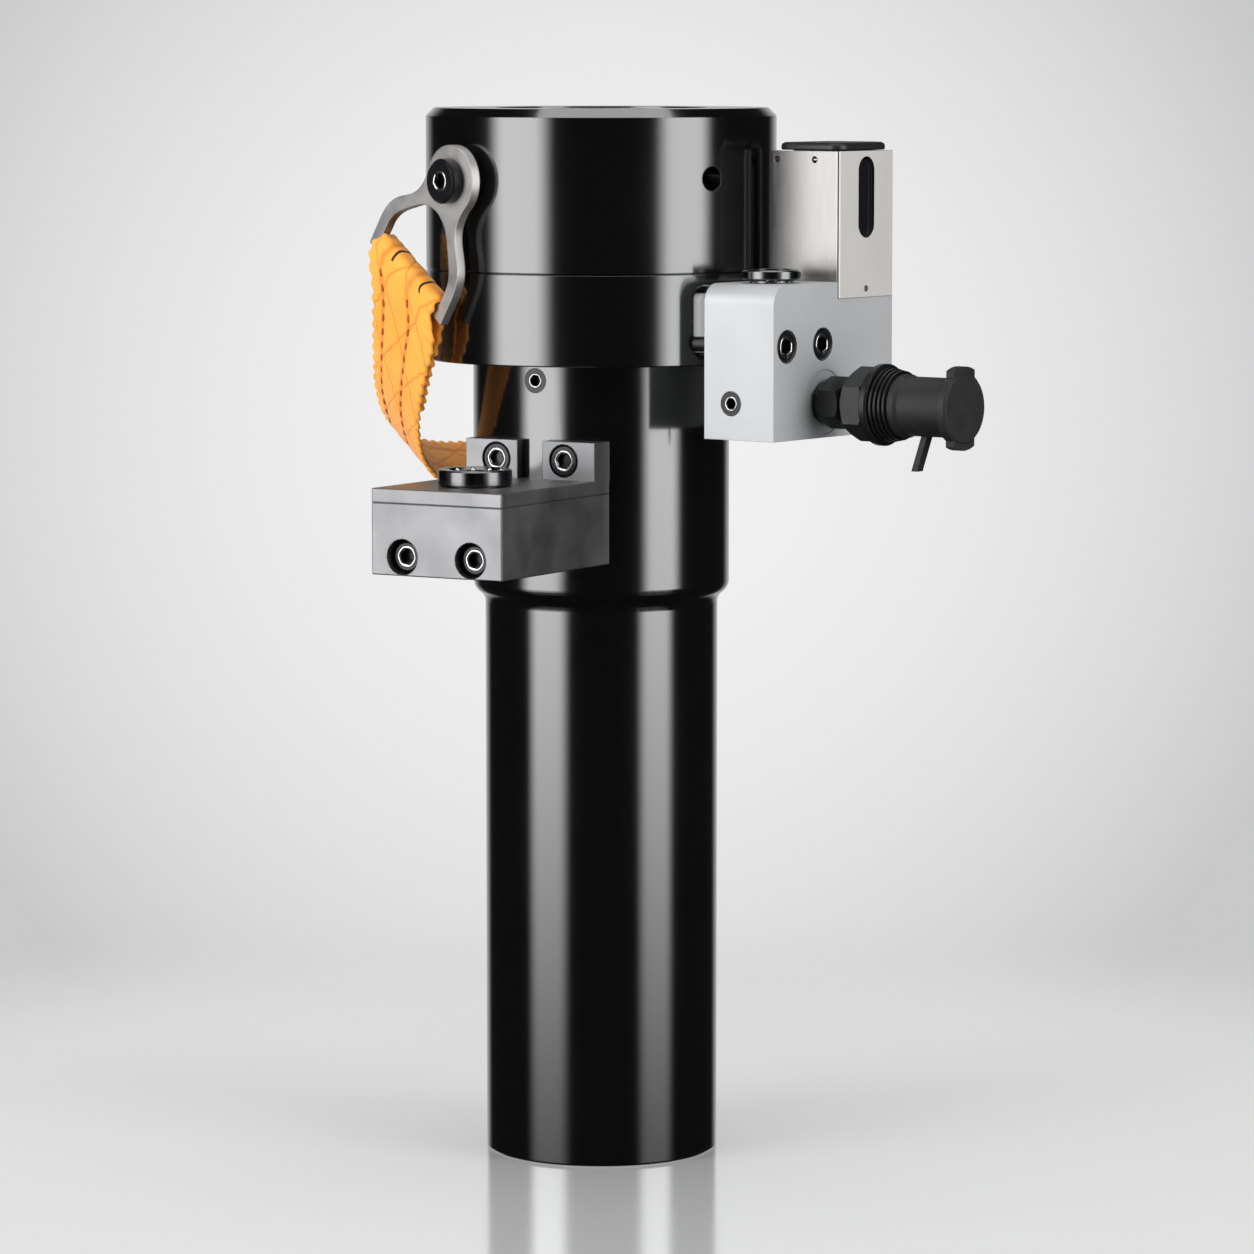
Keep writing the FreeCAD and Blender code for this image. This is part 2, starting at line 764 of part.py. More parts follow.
def bridge():
    """Tube, flare and barrel, with the seats of what fastens to them."""
    step = BARREL_RADIUS - TUBE_RADIUS
    bulge = (S.flare_height * S.flare_height + step * step) / (step * 4)
    middle = (TUBE_RADIUS + BARREL_RADIUS) / 2
    half_way = S.tube_length + S.flare_height / 2
    low_angle = math.degrees(math.asin(min(1.0, S.flare_height.value / 2 / bulge.value))) / 2
    low_out = TUBE_RADIUS + bulge * (1 - math.cos(math.radians(low_angle)))
    low_up = S.tube_length + bulge * math.sin(math.radians(low_angle))
    high_out = BARREL_RADIUS - bulge * (1 - math.cos(math.radians(low_angle)))
    high_up = FLARE_TOP - bulge * math.sin(math.radians(low_angle))
    groove_top = SNAP_BOTTOM + S.ring_thickness + S.groove_gap
    body = turned(
        "BridgeBlank",
        [
            (RECESS_RADIUS, 0),
            (TUBE_RADIUS - S.foot_chamfer, 0),
            (TUBE_RADIUS, S.foot_chamfer),
            (TUBE_RADIUS, S.tube_length, (low_out, low_up, bulge)),
            (middle, half_way, (high_out, high_up, bulge)),
            (BARREL_RADIUS, FLARE_TOP),
            (BARREL_RADIUS, HEAD_BOTTOM),
            (BARREL_BORE, HEAD_BOTTOM),
            (BARREL_BORE, groove_top),
            (SNAP_GROOVE, groove_top),
            (SNAP_GROOVE, SNAP_BOTTOM),
            (BARREL_BORE, SNAP_BOTTOM),
            (BARREL_BORE, SHOULDER),
            (TUBE_BORE, SHOULDER),
            (TUBE_BORE, S.recess_depth),
            (RECESS_RADIUS, S.recess_depth),
        ],
    )
    turn = S.gearbox_turn
    idler_x, idler_y = polar(IDLER_OUT, turn)
    tools = [rod("GearWindow", IDLER_POCKET, GEAR_TOP + S.gear_room - GEAR_FLOOR, (idler_x, idler_y, GEAR_FLOOR))]
    outward = FreeCAD.Rotation(UP, turn.value).multVec(OUT)
    plug_depth = S.plug_length + S.plug_sink + S.thread_gap
    plug_x, plug_y = polar(BARREL_RADIUS - plug_depth, turn)
    tools.append(rod("BarrelPlugHole", S.plug_radius + S.thread_gap, plug_depth * 2,
                     (plug_x, plug_y, BARREL_PLUG), outward))
    for side in (-1, 1):
        across = S.gearbox_screw_offset * side
        tip_x = GEARBOX_THREAD_END * cosine(turn) - across * sine(turn)
        tip_y = GEARBOX_THREAD_END * sine(turn) + across * cosine(turn)
        for name, height in (("Front", FRONT_SCREW), ("Lug", LUG_SCREW)):
            tools.append(rod(f"{name}Thread{side + 1}", S.screw_radius + S.thread_gap, S.barrel_wall * 2,
                             (tip_x, tip_y, height), outward))
    node(cut("Bridge", body, tools), "bridge")


def head():
    """Cylinder body below, spring housing above, and the top cover with its screws."""
    lower = turned(
        "CylinderBlank",
        [
            (HUB_BORE, HEAD_BOTTOM - S.spigot_length),
            (SPIGOT_OUTER, HEAD_BOTTOM - S.spigot_length),
            (SPIGOT_OUTER, HEAD_BOTTOM),
            (HEAD_RADIUS - S.seam_chamfer, HEAD_BOTTOM),
            (HEAD_RADIUS, HEAD_BOTTOM + S.seam_chamfer),
            (HEAD_RADIUS, SEAM - S.seam_chamfer),
            (HEAD_RADIUS - S.seam_chamfer, SEAM),
            (JOINT_SPIGOT, SEAM),
            (JOINT_SPIGOT, JOINT_TOP),
            (CHAMBER_OUTER, JOINT_TOP),
            (CHAMBER_OUTER, CHAMBER_FLOOR),
            (CHAMBER_INNER, CHAMBER_FLOOR),
            (CHAMBER_INNER, HUB_TOP),
            (HUB_BORE, HUB_TOP),
        ],
    )
    chamber_middle = (CHAMBER_INNER + CHAMBER_OUTER) / 2
    port_height = (ADAPTER_BOTTOM + CHAMBER_FLOOR) / 2
    tools = [
        rod("PortUp", S.port_radius, S.cylinder_floor, (chamber_middle, 0, port_height)),
        rod("PortAcross", S.port_radius, HEAD_RADIUS, (chamber_middle, 0, port_height), OUT),
    ]
    for index, across in enumerate(BLOCK_SCREWS):
        tools.append(rod(f"BlockThread{index}", S.screw_radius + S.thread_gap, HEAD_RADIUS,
                         (BLOCK_THREAD_END - S.screw_hole_gap, across, BLOCK_SCREW), OUT))
    node(cut("CylinderBody", lower, tools), "cylinder_body")
    upper = turned(
        "HousingBlank",
        [
            (JOINT_SPIGOT + S.spigot_gap, SEAM),
            (HEAD_RADIUS - S.seam_chamfer, SEAM),
            (HEAD_RADIUS, SEAM + S.seam_chamfer),
            (HEAD_RADIUS, HEAD_TOP - S.head_chamfer),
            (HEAD_RADIUS - S.head_chamfer, HEAD_TOP),
            (COVER_RADIUS + S.spigot_gap, HEAD_TOP),
            (COVER_RADIUS + S.spigot_gap, COVER_SEAT),
            (S.cover_opening_radius, COVER_SEAT),
            (S.cover_opening_radius, ROOF_BOTTOM),
            (HOUSING_BORE, ROOF_BOTTOM),
            (HOUSING_BORE, JOINT_TOP + S.screw_hole_gap),
            (JOINT_SPIGOT + S.spigot_gap, JOINT_TOP + S.screw_hole_gap),
        ],
    )
    tools = []
    for side in (0, 180):
        for name, angle, radius, height, depth in (
            ("Side", S.side_hole_turn + side, S.side_hole_radius, SIDE_HOLE, S.side_hole_depth),
            ("Pivot", S.hanger_turn + side, S.hanger_thread_radius + S.thread_gap, PIVOT_HEIGHT,
             S.hanger_thread_depth + S.screw_hole_gap),
        ):
            x, y = polar(HEAD_RADIUS - depth, angle)
            outward = FreeCAD.Rotation(UP, angle.value).multVec(OUT)
            tools.append(rod(f"{name}Hole{side}", radius, depth * 2, (x, y, height), outward))
    for index in range(int(S.cover_screw_count.value)):
        x, y = polar(COVER_SCREWS, 360.0 / S.cover_screw_count * index)
        tools.append(rod(f"CoverThread{index}", S.small_screw_radius + S.thread_gap, S.roof_thickness * 2,
                         (x, y, ROOF_BOTTOM - 1)))
    node(cut("UpperHousing", upper, tools), "upper_housing")
    cover = ring("CoverBlank", COVER_BORE, COVER_RADIUS, COVER_SEAT,
                 HEAD_TOP - S.cover_recess)
    seat = HEAD_TOP - S.cover_recess - S.small_head_height - S.running_gap
    tools = []
    screws = []
    for index in range(int(S.cover_screw_count.value)):
        x, y = polar(COVER_SCREWS, 360.0 / S.cover_screw_count * index)
        tools.append(rod(f"CoverHole{index}", S.small_screw_radius + S.thread_gap, S.roof_thickness * 2,
                         (x, y, COVER_SEAT - 1)))
        tools.append(rod(f"CoverSink{index}", S.small_head_radius + S.small_hole_gap, S.cover_pocket, (x, y, seat)))
        screws.append(small_screw(f"CoverScrew{index}", (x, y, seat), UP,
                                  seat - ROOF_BOTTOM - S.screw_hole_gap))
    node(cut("TopCover", cover, tools), "top_cover")
    node(group("TopCoverScrews", screws), "top_cover_screws")


def piston_group():
    """Ring piston with two seals, the threaded puller and the return springs."""
    outer = CHAMBER_OUTER - S.piston_gap
    inner = CHAMBER_INNER + S.piston_gap
    bottom = CHAMBER_FLOOR + S.piston_lift
    groove_low = SEAL_BOTTOM - S.groove_gap
    groove_high = SEAL_BOTTOM + S.seal_height + S.groove_gap
    body = turned(
        "PistonBlank",
        [
            (inner, bottom),
            (outer, bottom),
            (outer, groove_low),
            (outer - S.seal_width, groove_low),
            (outer - S.seal_width, groove_high),
            (outer, groove_high),
            (outer, CROWN_TOP),
            (CROWN_BORE, CROWN_TOP),
            (CROWN_BORE, CROWN_BOTTOM),
            (inner, CROWN_BOTTOM),
            (inner, groove_high),
            (inner + S.seal_width, groove_high),
            (inner + S.seal_width, groove_low),
            (inner, groove_low),
        ],
    )
    node(body, "piston")
    slip = S.piston_gap / 2
    top = SEAL_BOTTOM + S.seal_height
    node(ring("OuterSeal", outer - S.seal_width + slip, outer + slip, SEAL_BOTTOM, top), "piston_outer_seal")
    node(ring("InnerSeal", inner - slip, inner + S.seal_width - slip, SEAL_BOTTOM, top), "piston_inner_seal")
    edge = S.puller_edge
    puller = turned(
        "PullerBlank",
        [
            (S.stud_core_radius, PULLER_BOTTOM + edge),
            (S.stud_core_radius + edge, PULLER_BOTTOM),
            (PULLER_RADIUS - edge, PULLER_BOTTOM),
            (PULLER_RADIUS, PULLER_BOTTOM + edge),
            (PULLER_RADIUS, FLANGE_BOTTOM),
            (FLANGE_RADIUS, FLANGE_BOTTOM),
            (FLANGE_RADIUS, FLANGE_TOP - edge),
            (FLANGE_RADIUS - edge, FLANGE_TOP),
            (S.drive_neck_radius, FLANGE_TOP),
            (S.drive_neck_radius, DRIVE_NECK_TOP - edge),
            (S.drive_neck_radius - edge, DRIVE_NECK_TOP),
            (0, DRIVE_NECK_TOP),
            (0, PULLER_BOTTOM + S.stud_thread_length),
            (S.stud_core_radius, PULLER_BOTTOM + S.stud_thread_length),
        ],
    )
    half = S.square_drive / 2
    drive = block("PullerSquare", (-half, -half, DRIVE_NECK_TOP - S.square_depth),
                  (half, half, DRIVE_NECK_TOP + edge))
    node(cut("Puller", puller, [drive]), "puller")
    discs = []
    for index in range(int(S.disc_count.value)):
        low = CROWN_TOP + DISC_PITCH * index + S.disc_gap
        rise = S.disc_cone
        inner_up = rise if index % 2 else size(0)
        outer_up = size(0) if index % 2 else rise
        discs.append(turned(
            f"Disc{index}",
            [
                (SPRING_INNER, low + inner_up),
                (SPRING_OUTER, low + outer_up),
                (SPRING_OUTER, low + outer_up + S.disc_thickness),
                (SPRING_INNER, low + inner_up + S.disc_thickness),
            ],
        ))
    node(group("DiscSprings", discs), "disc_springs")


def toothed(teeth, bore, bottom, top, first_angle):
    """A spur gear by the involute's formula, with its first tooth at the given angle."""
    module = S.gear_module.value
    count = int(round(teeth.value))
    pitch_radius = module * count / 2
    base_radius = pitch_radius * math.cos(math.radians(S.pressure_angle.value))
    tip_radius = pitch_radius + module
    root_radius = pitch_radius - 1.25 * module

    def involute(radius):
        slope = math.acos(min(1.0, base_radius / radius))
        return math.tan(slope) - slope

    half_tooth = (math.pi * module / 2 - S.tooth_backlash.value) / (2 * pitch_radius)
    start = max(base_radius, root_radius)
    flank = []
    for step in range(3):
        radius = start + (tip_radius - start) * step / 2
        flank.append((radius, half_tooth + involute(pitch_radius) - involute(radius)))
    if root_radius < start:
        flank.insert(0, (root_radius, flank[0][1]))
    points = []
    for tooth in range(count):
        centre = math.radians(first_angle) + 2 * math.pi * tooth / count
        for radius, angle in flank:
            points.append((radius, centre - angle))
        for radius, angle in reversed(flank):
            points.append((radius, centre + angle))
    corners = [FreeCAD.Vector(r * math.cos(a), r * math.sin(a), size(bottom).value) for r, a in points]
    face = Part.Face(Part.makePolygon(corners + corners[:1]))
    height = (size(top) - bottom).value
    solid = face.extrude(UP * height)
    if bore is None:
        return solid
    hole = Part.makeCylinder(size(bore).value, height + 2, UP * (size(bottom).value - 1))
    return solid.cut(hole)


def nut_drive():
    """Nut socket with its ring gear, the thrust washer below it and the rings that keep it in."""
    node(ring("ThrustWasher", TUBE_BORE - S.thread_gap, BARREL_BORE - S.spigot_gap, SHOULDER, WASHER_TOP),
         "thrust_washer")
    groove_radius = SOCKET_NECK - S.keeper_groove
    nut_top = S.socket_bottom + S.nut_pocket_depth
    lip_radius = S.nut_flats / 2 - S.nut_lip
    edge = S.puller_edge
    body = turned(
        "SocketBlank",
        [
            (lip_radius, S.socket_bottom),
            (SOCKET_RADIUS - edge, S.socket_bottom),
            (SOCKET_RADIUS, S.socket_bottom + edge),
            (SOCKET_RADIUS, RING_BOTTOM),
            (SOCKET_NECK, RING_BOTTOM),
            (SOCKET_NECK, GEAR_TOP),
            (groove_radius, GEAR_TOP),
            (groove_radius, GEAR_TOP + S.ring_thickness),
            (SOCKET_NECK, GEAR_TOP + S.ring_thickness),
            (SOCKET_NECK, SOCKET_TOP),
            (SOCKET_BORE, SOCKET_TOP),
            (SOCKET_BORE, nut_top + S.nut_lip_height + SOCKET_BORE - lip_radius),
            (lip_radius, nut_top + S.nut_lip_height),
        ],
    )
    nut = hexagon("NutPocket", S.nut_flats, S.nut_pocket_depth * 2, (0, 0, nut_top - S.nut_pocket_depth * 2))
    node(cut("NutSocket", body, [nut]), "nut_socket")
    node(shaped("RingGear", toothed(S.ring_teeth, SOCKET_NECK + S.fit_gap, RING_BOTTOM, GEAR_TOP, 0)),
         "ring_gear", S.gearbox_turn)
    keeper = ring("KeeperBlank", groove_radius + S.fit_gap, groove_radius + S.keeper_width, GEAR_TOP,
                  GEAR_TOP + S.ring_thickness)
    slit = block("KeeperSlit", (0, -S.ring_slit / 2, GEAR_TOP - edge),
                 (BARREL_RADIUS, S.ring_slit / 2, SNAP_BOTTOM))
    node(cut("Keeper", keeper, [slit]), "gear_retaining_ring")
    snap = ring("SnapBlank", BARREL_BORE - S.snap_reach, SNAP_GROOVE - S.groove_gap, SNAP_BOTTOM,
                SNAP_BOTTOM + S.ring_thickness)
    gap = block("SnapGap", (0, -S.snap_slit / 2, SNAP_BOTTOM - edge),
                (BARREL_RADIUS, S.snap_slit / 2, SNAP_BOTTOM + S.snap_rise))
    node(cut("Snap", snap, [gap]), "barrel_snap_ring")


def gear_spaces(name, bottom, top):
    """The room of the idler and the pinion inside the gearbox."""
    height = size(top) - bottom
    return [
        rod(name + "Idler", IDLER_POCKET, height, (IDLER_OUT, 0, bottom)),
        rod(name + "Pinion", PINION_POCKET, height, (PINION_OUT, 0, bottom)),
    ]


def gearbox():
    """Housing, top plate with two lugs, their screws, the axle and the bushes."""
    turn = S.gearbox_turn
    wide = GEARBOX_HALF
    saddle = BARREL_RADIUS + S.thread_gap
    bush_radius = S.pinion_journal_radius + S.fit_gap + S.bush_wall
    neck_bush_radius = S.pinion_neck_radius + S.fit_gap + S.bush_wall
    blank = block("HousingBox", (GEARBOX_BACK, -wide, GEARBOX_BOTTOM), (GEARBOX_FRONT, wide, GEARBOX_SEAM))

    def outer_edge(edge):
        box = edge.BoundBox
        front = abs(box.XMin - GEARBOX_FRONT.value) < 1e-6
        side = abs(abs(box.YMin) - wide.value) < 1e-6 and abs(abs(box.YMax) - wide.value) < 1e-6
        return front or (side and box.YLength < 1e-6)

    eased = chamfered("HousingEased", blank, S.gearbox_edge, outer_edge)
    tools = [rod("HousingSaddle", saddle, GEARBOX_SEAM - GEARBOX_BOTTOM + 10, (0, 0, GEARBOX_BOTTOM - 5))]
    tools += gear_spaces("HousingRoom", GEAR_FLOOR, GEARBOX_SEAM + 1)
    for name, radius, out in (("Axle", S.axle_radius, IDLER_OUT), ("Journal", bush_radius, PINION_OUT)):
        tools.append(rod(name + "Hole", radius + S.fit_gap, S.gearbox_floor, (out, 0, JOURNAL_BOTTOM)))
    front_screws = []
    lug_screws = []
    plate_screws = []
    seat = GEARBOX_FRONT - S.front_counterbore_depth
    for side in (-1, 1):
        across = S.gearbox_screw_offset * side
        tools.append(rod(f"FrontHole{side + 1}", S.screw_radius + S.screw_hole_gap, GEARBOX_FRONT,
                         (GEARBOX_BACK - 5, across, FRONT_SCREW), OUT))
        tools.append(rod(f"FrontSink{side + 1}", S.front_counterbore_radius, S.front_counterbore_depth * 2,
                         (seat, across, FRONT_SCREW), OUT))
        front_screws.append(cap_screw(f"FrontScrew{side + 1}", (seat, across, FRONT_SCREW), OUT,
                                      seat - GEARBOX_THREAD_END))
    plate_seat = GEARBOX_BOTTOM + S.small_head_height + S.running_gap
    for index, (out, across) in enumerate(PLATE_SCREWS):
        tools.append(rod(f"PlateHole{index}", S.small_screw_radius + S.small_hole_gap, PLATE_TOP - GEARBOX_BOTTOM,
                         (out, across, GEARBOX_BOTTOM - 1)))
        tools.append(rod(f"PlateSink{index}", S.small_head_radius + S.small_hole_gap, S.gearbox_floor,
                         (out, across, plate_seat), -UP))
        plate_screws.append(small_screw(f"PlateScrew{index}", (out, across, plate_seat), -UP,
                                        GEARBOX_SEAM + S.plate_thickness * 0.75 - plate_seat))
    node(cut("GearboxHousing", eased, tools), "gearbox_housing", turn)
    node(group("FrontScrews", front_screws), "gearbox_front_screws", turn)
    node(group("PlateScrews", plate_screws), "gearbox_cover_screws", turn)

    plate_box = block("PlateBox", (GEARBOX_BACK, -wide, GEARBOX_SEAM), (GEARBOX_FRONT, wide, PLATE_TOP))
    plate_eased = chamfered("PlateEased", plate_box, S.gearbox_edge, outer_edge)
    lugs = []
    tools = [rod("PlateSaddle", saddle, LUG_TOP - GEARBOX_SEAM + 10, (0, 0, GEARBOX_SEAM - 5))]
    tools.append(rod("PlateAxle", S.axle_radius + S.fit_gap, S.axle_seat * 2, (IDLER_OUT, 0, GEARBOX_SEAM - S.axle_seat)))
    tools.append(rod("PlateJournal", neck_bush_radius + S.fit_gap, S.plate_thickness * 3,
                     (PINION_OUT, 0, GEARBOX_SEAM - S.plate_thickness)))
    for index, (out, across) in enumerate(PLATE_SCREWS):
        tools.append(rod(f"PlateThread{index}", S.small_screw_radius + S.thread_gap, S.plate_thickness * 1.8,
                         (out, across, GEARBOX_SEAM - S.plate_thickness)))
    lug_seat = LUG_FRONT - S.lug_counterbore_depth
    for side in (-1, 1):
        across = S.gearbox_screw_offset * side
        inner = S.lug_gap / 2 * side
        outer = wide * side
        low, high = (inner, outer) if side > 0 else (outer, inner)
        lugs.append(block(f"Lug{side + 1}", (GEARBOX_BACK, low, PLATE_TOP - 1), (LUG_FRONT, high, LUG_TOP)))
        tools.append(rod(f"LugHole{side + 1}", S.screw_radius + S.screw_hole_gap, LUG_FRONT,
                         (GEARBOX_BACK - 5, across, LUG_SCREW), OUT))
        tools.append(rod(f"LugSink{side + 1}", S.block_counterbore_radius, S.lug_counterbore_depth * 2,
                         (lug_seat, across, LUG_SCREW), OUT))
        lug_screws.append(low_screw(f"LugScrew{side + 1}", (lug_seat, across, LUG_SCREW), OUT,
                                    lug_seat - GEARBOX_THREAD_END - S.screw_hole_gap))
    node(cut("GearboxCover", join("PlateWithLugs", [plate_eased] + lugs), tools), "gearbox_cover", turn)
    node(group("LugScrews", lug_screws), "gearbox_lug_screws", turn)

    node(rod("IdlerAxle", S.axle_radius, GEARBOX_SEAM + S.axle_seat - S.screw_hole_gap - JOURNAL_BOTTOM), "idler_axle", turn,
         (*polar(IDLER_OUT, turn), JOURNAL_BOTTOM))
    low_bush = ring("LowBush", S.pinion_journal_radius + S.fit_gap, bush_radius, JOURNAL_BOTTOM, GEAR_FLOOR)
    high_bush = ring("HighBush", S.pinion_neck_radius + S.fit_gap, neck_bush_radius, GEARBOX_SEAM, PLATE_TOP)
    node(group("PinionBushes", [low_bush, high_bush]), "pinion_bushes", 0, (*polar(PINION_OUT, turn), 0))


def gears():
    """Idler on its bush, and the pinion with the drive collar on top."""
    turn = S.gearbox_turn
    bush_outer = S.axle_radius + S.fit_gap + S.bush_wall
    half_pitch = 180.0 / S.idler_teeth.value
    idler = shaped("IdlerGear", toothed(S.idler_teeth, bush_outer + S.fit_gap, GEAR_BOTTOM, GEAR_TOP,
                                        180 + half_pitch))
    node(idler, "idler_gear", turn, (*polar(IDLER_OUT, turn), 0))
    node(ring("IdlerBush", S.axle_radius + S.fit_gap, bush_outer, GEAR_FLOOR + S.running_gap,
              GEARBOX_SEAM - S.running_gap), "idler_bush", 0, (*polar(IDLER_OUT, turn), 0))
    seat = PINION_SEAT
    slack = S.running_gap
    shaft = turned(
        "PinionShaft",
        [
            (0, JOURNAL_BOTTOM + slack),
            (S.pinion_journal_radius - slack, JOURNAL_BOTTOM + slack),
            (S.pinion_journal_radius, JOURNAL_BOTTOM + slack * 2),
            (S.pinion_journal_radius, GEAR_FLOOR + slack),
            (S.pinion_neck_radius - 1, GEAR_FLOOR + slack),
            (S.pinion_neck_radius - 1, GEAR_TOP - 1),
            (S.pinion_neck_radius, GEAR_TOP),
            (S.pinion_neck_radius, seat),
            (0, seat),
        ],
    )
    teeth = shaped("PinionTeeth", toothed(S.pinion_teeth, None, GEAR_BOTTOM, GEAR_TOP, 180))
    half = S.pinion_square / 2
    drive = block("PinionSquare", (-half, -half, seat - S.pinion_square), (half, half, COLLAR_TOP))
    node(cut("Pinion", join("PinionBlank", [shaft, teeth]), [drive]), "pinion", turn, (*polar(PINION_OUT, turn), 0))
    bottom = PLATE_TOP + S.running_gap
    edge = S.knob_edge
    collar = turned(
        "CollarBlank",
        [
            (S.pinion_neck_radius + S.fit_gap, bottom),
            (COLLAR_RADIUS - edge, bottom),
            (COLLAR_RADIUS, bottom + edge),
            (COLLAR_RADIUS, COLLAR_TOP - edge),
            (COLLAR_RADIUS - edge, COLLAR_TOP),
            (COLLAR_OPENING + S.collar_mouth, COLLAR_TOP),
            (COLLAR_OPENING, COLLAR_TOP - S.collar_mouth),
            (COLLAR_OPENING, seat),
            (S.pinion_neck_radius + S.fit_gap, seat),
        ],
    )
    balls = []
    seats = []
    count = int(S.collar_ball_count.value)
    for index in range(count):
        x, y = polar(COLLAR_OPENING + S.collar_mouth / 2, 360.0 / S.collar_ball_count * index)
        height = COLLAR_TOP - S.collar_mouth
        balls.append(ball(f"CollarBall{index}", S.collar_ball_radius, (x, y, height)))
        seats.append(ball(f"CollarSeat{index}", S.collar_ball_radius + S.ball_seat, (x, y, height)))
    node(cut("DriveCollar", collar, seats), "drive_collar", turn, (*polar(PINION_OUT, turn), 0))
    node(group("CollarBalls", balls), "collar_balls", turn, (*polar(PINION_OUT, turn), 0))


def barrel_plug():
    """Threaded plug in the barrel above the gearbox."""
    turn = S.gearbox_turn
    outward = FreeCAD.Rotation(UP, turn.value).multVec(OUT)
    x, y = polar(BARREL_RADIUS - S.plug_length - S.plug_sink, turn)
    item = plug("BarrelPlugItem", (x, y, BARREL_PLUG), outward)
    item.Label = "barrel_plug"
    NODES.append(item)


def coupling_block():
    """Aluminium block, its saddle plate, screws and port plug."""
    body = block("BlockBox", (BLOCK_BACK, S.block_left, BLOCK_BOTTOM),
                 (BLOCK_FRONT, BLOCK_RIGHT, BLOCK_TOP))

    def corner(edge):
        box = edge.BoundBox
        left = abs(box.YMin - S.block_left.value) < 1e-6 and box.YLength < 1e-6
        return left and abs(box.ZMin - BLOCK_TOP.value) < 1e-6 and box.ZLength < 1e-6

    rounded = filleted("BlockRounded", body, S.block_round, corner)
    notch_bottom = BLOCK_TOP - S.notch_height
    notch_back = COVER_FRONT - S.cover_sheet - S.sheet_gap
    tools = [
        block("CoverNotch", (notch_back, COVER_LEFT, notch_bottom),
              (BLOCK_FRONT + 5, BLOCK_RIGHT + 5, BLOCK_TOP + 5)),
        rod("CouplingPort", S.port_thread_radius + S.thread_gap, 20,
            (BLOCK_FRONT - S.port_thread_depth - S.screw_hole_gap, S.coupling_side, COUPLING_HEIGHT), OUT),
        rod("SpotFace", S.spot_face_radius, 5,
            (BLOCK_FRONT - S.spot_face_depth, S.coupling_side, COUPLING_HEIGHT), OUT),
        rod("PortPlugHole", S.plug_radius + S.thread_gap, S.plug_length * 2,
            (BLOCK_PLUG_OUT, S.block_left + S.plug_length + S.plug_sink + S.thread_gap, BLOCK_PLUG), -SIDE),
        rod("ValveHole", S.bonnet_thread_radius + S.thread_gap, S.bonnet_depth + 5,
            (KNOB_OUT, KNOB_SIDE, BLOCK_TOP - S.bonnet_depth)),
        rod("StemHole", S.stem_radius + S.stem_hole_gap, S.bonnet_depth + S.stem_reach,
            (KNOB_OUT, KNOB_SIDE, STEM_TIP - S.stem_end)),
    ]
    screws = []
    seat = BLOCK_FRONT - S.block_counterbore_depth
    for index, across in enumerate(BLOCK_SCREWS):
        tools.append(rod(f"BlockHole{index}", S.screw_radius + S.screw_hole_gap, S.block_depth * 2,
                         (BLOCK_BACK - 5, across, BLOCK_SCREW), OUT))
        tools.append(rod(f"BlockSink{index}", S.block_counterbore_radius, 20,
                         (seat, across, BLOCK_SCREW), OUT))
        screws.append(cap_screw(f"BlockScrew{index}", (seat, across, BLOCK_SCREW), OUT,
                                seat - BLOCK_THREAD_END))
    node(cut("ManifoldBlock", rounded, tools), "manifold_block")
    node(group("ManifoldScrews", screws), "manifold_screws")
    item = plug("PortPlugItem", (BLOCK_PLUG_OUT, S.block_left + S.plug_length + S.plug_sink, BLOCK_PLUG), -SIDE)
    item.Label = "port_plug"
    NODES.append(item)

    saddle = block("SaddleBox", (HEAD_RADIUS - S.adapter_wrap, ADAPTER_LEFT, ADAPTER_BOTTOM),
                   (BLOCK_BACK, ADAPTER_RIGHT, ADAPTER_TOP))

    def upright(edge):
        box = edge.BoundBox
        return box.ZLength < 1e-6 and box.YLength < 1e-6 and box.XLength > 1

    saddle_round = filleted("SaddleRounded", saddle, S.adapter_round, upright)
    tools = [rod("SaddleFit", HEAD_RADIUS + S.fit_gap, S.block_height, (0, 0, ADAPTER_BOTTOM - 5))]
    for index, across in enumerate(BLOCK_SCREWS):
        tools.append(rod(f"SaddleHole{index}", S.screw_radius + S.screw_hole_gap, S.adapter_wrap * 2,
                         (HEAD_RADIUS - S.adapter_wrap, across, BLOCK_SCREW), OUT))
    node(cut("AdapterPlate", saddle_round, tools), "manifold_adapter_plate")


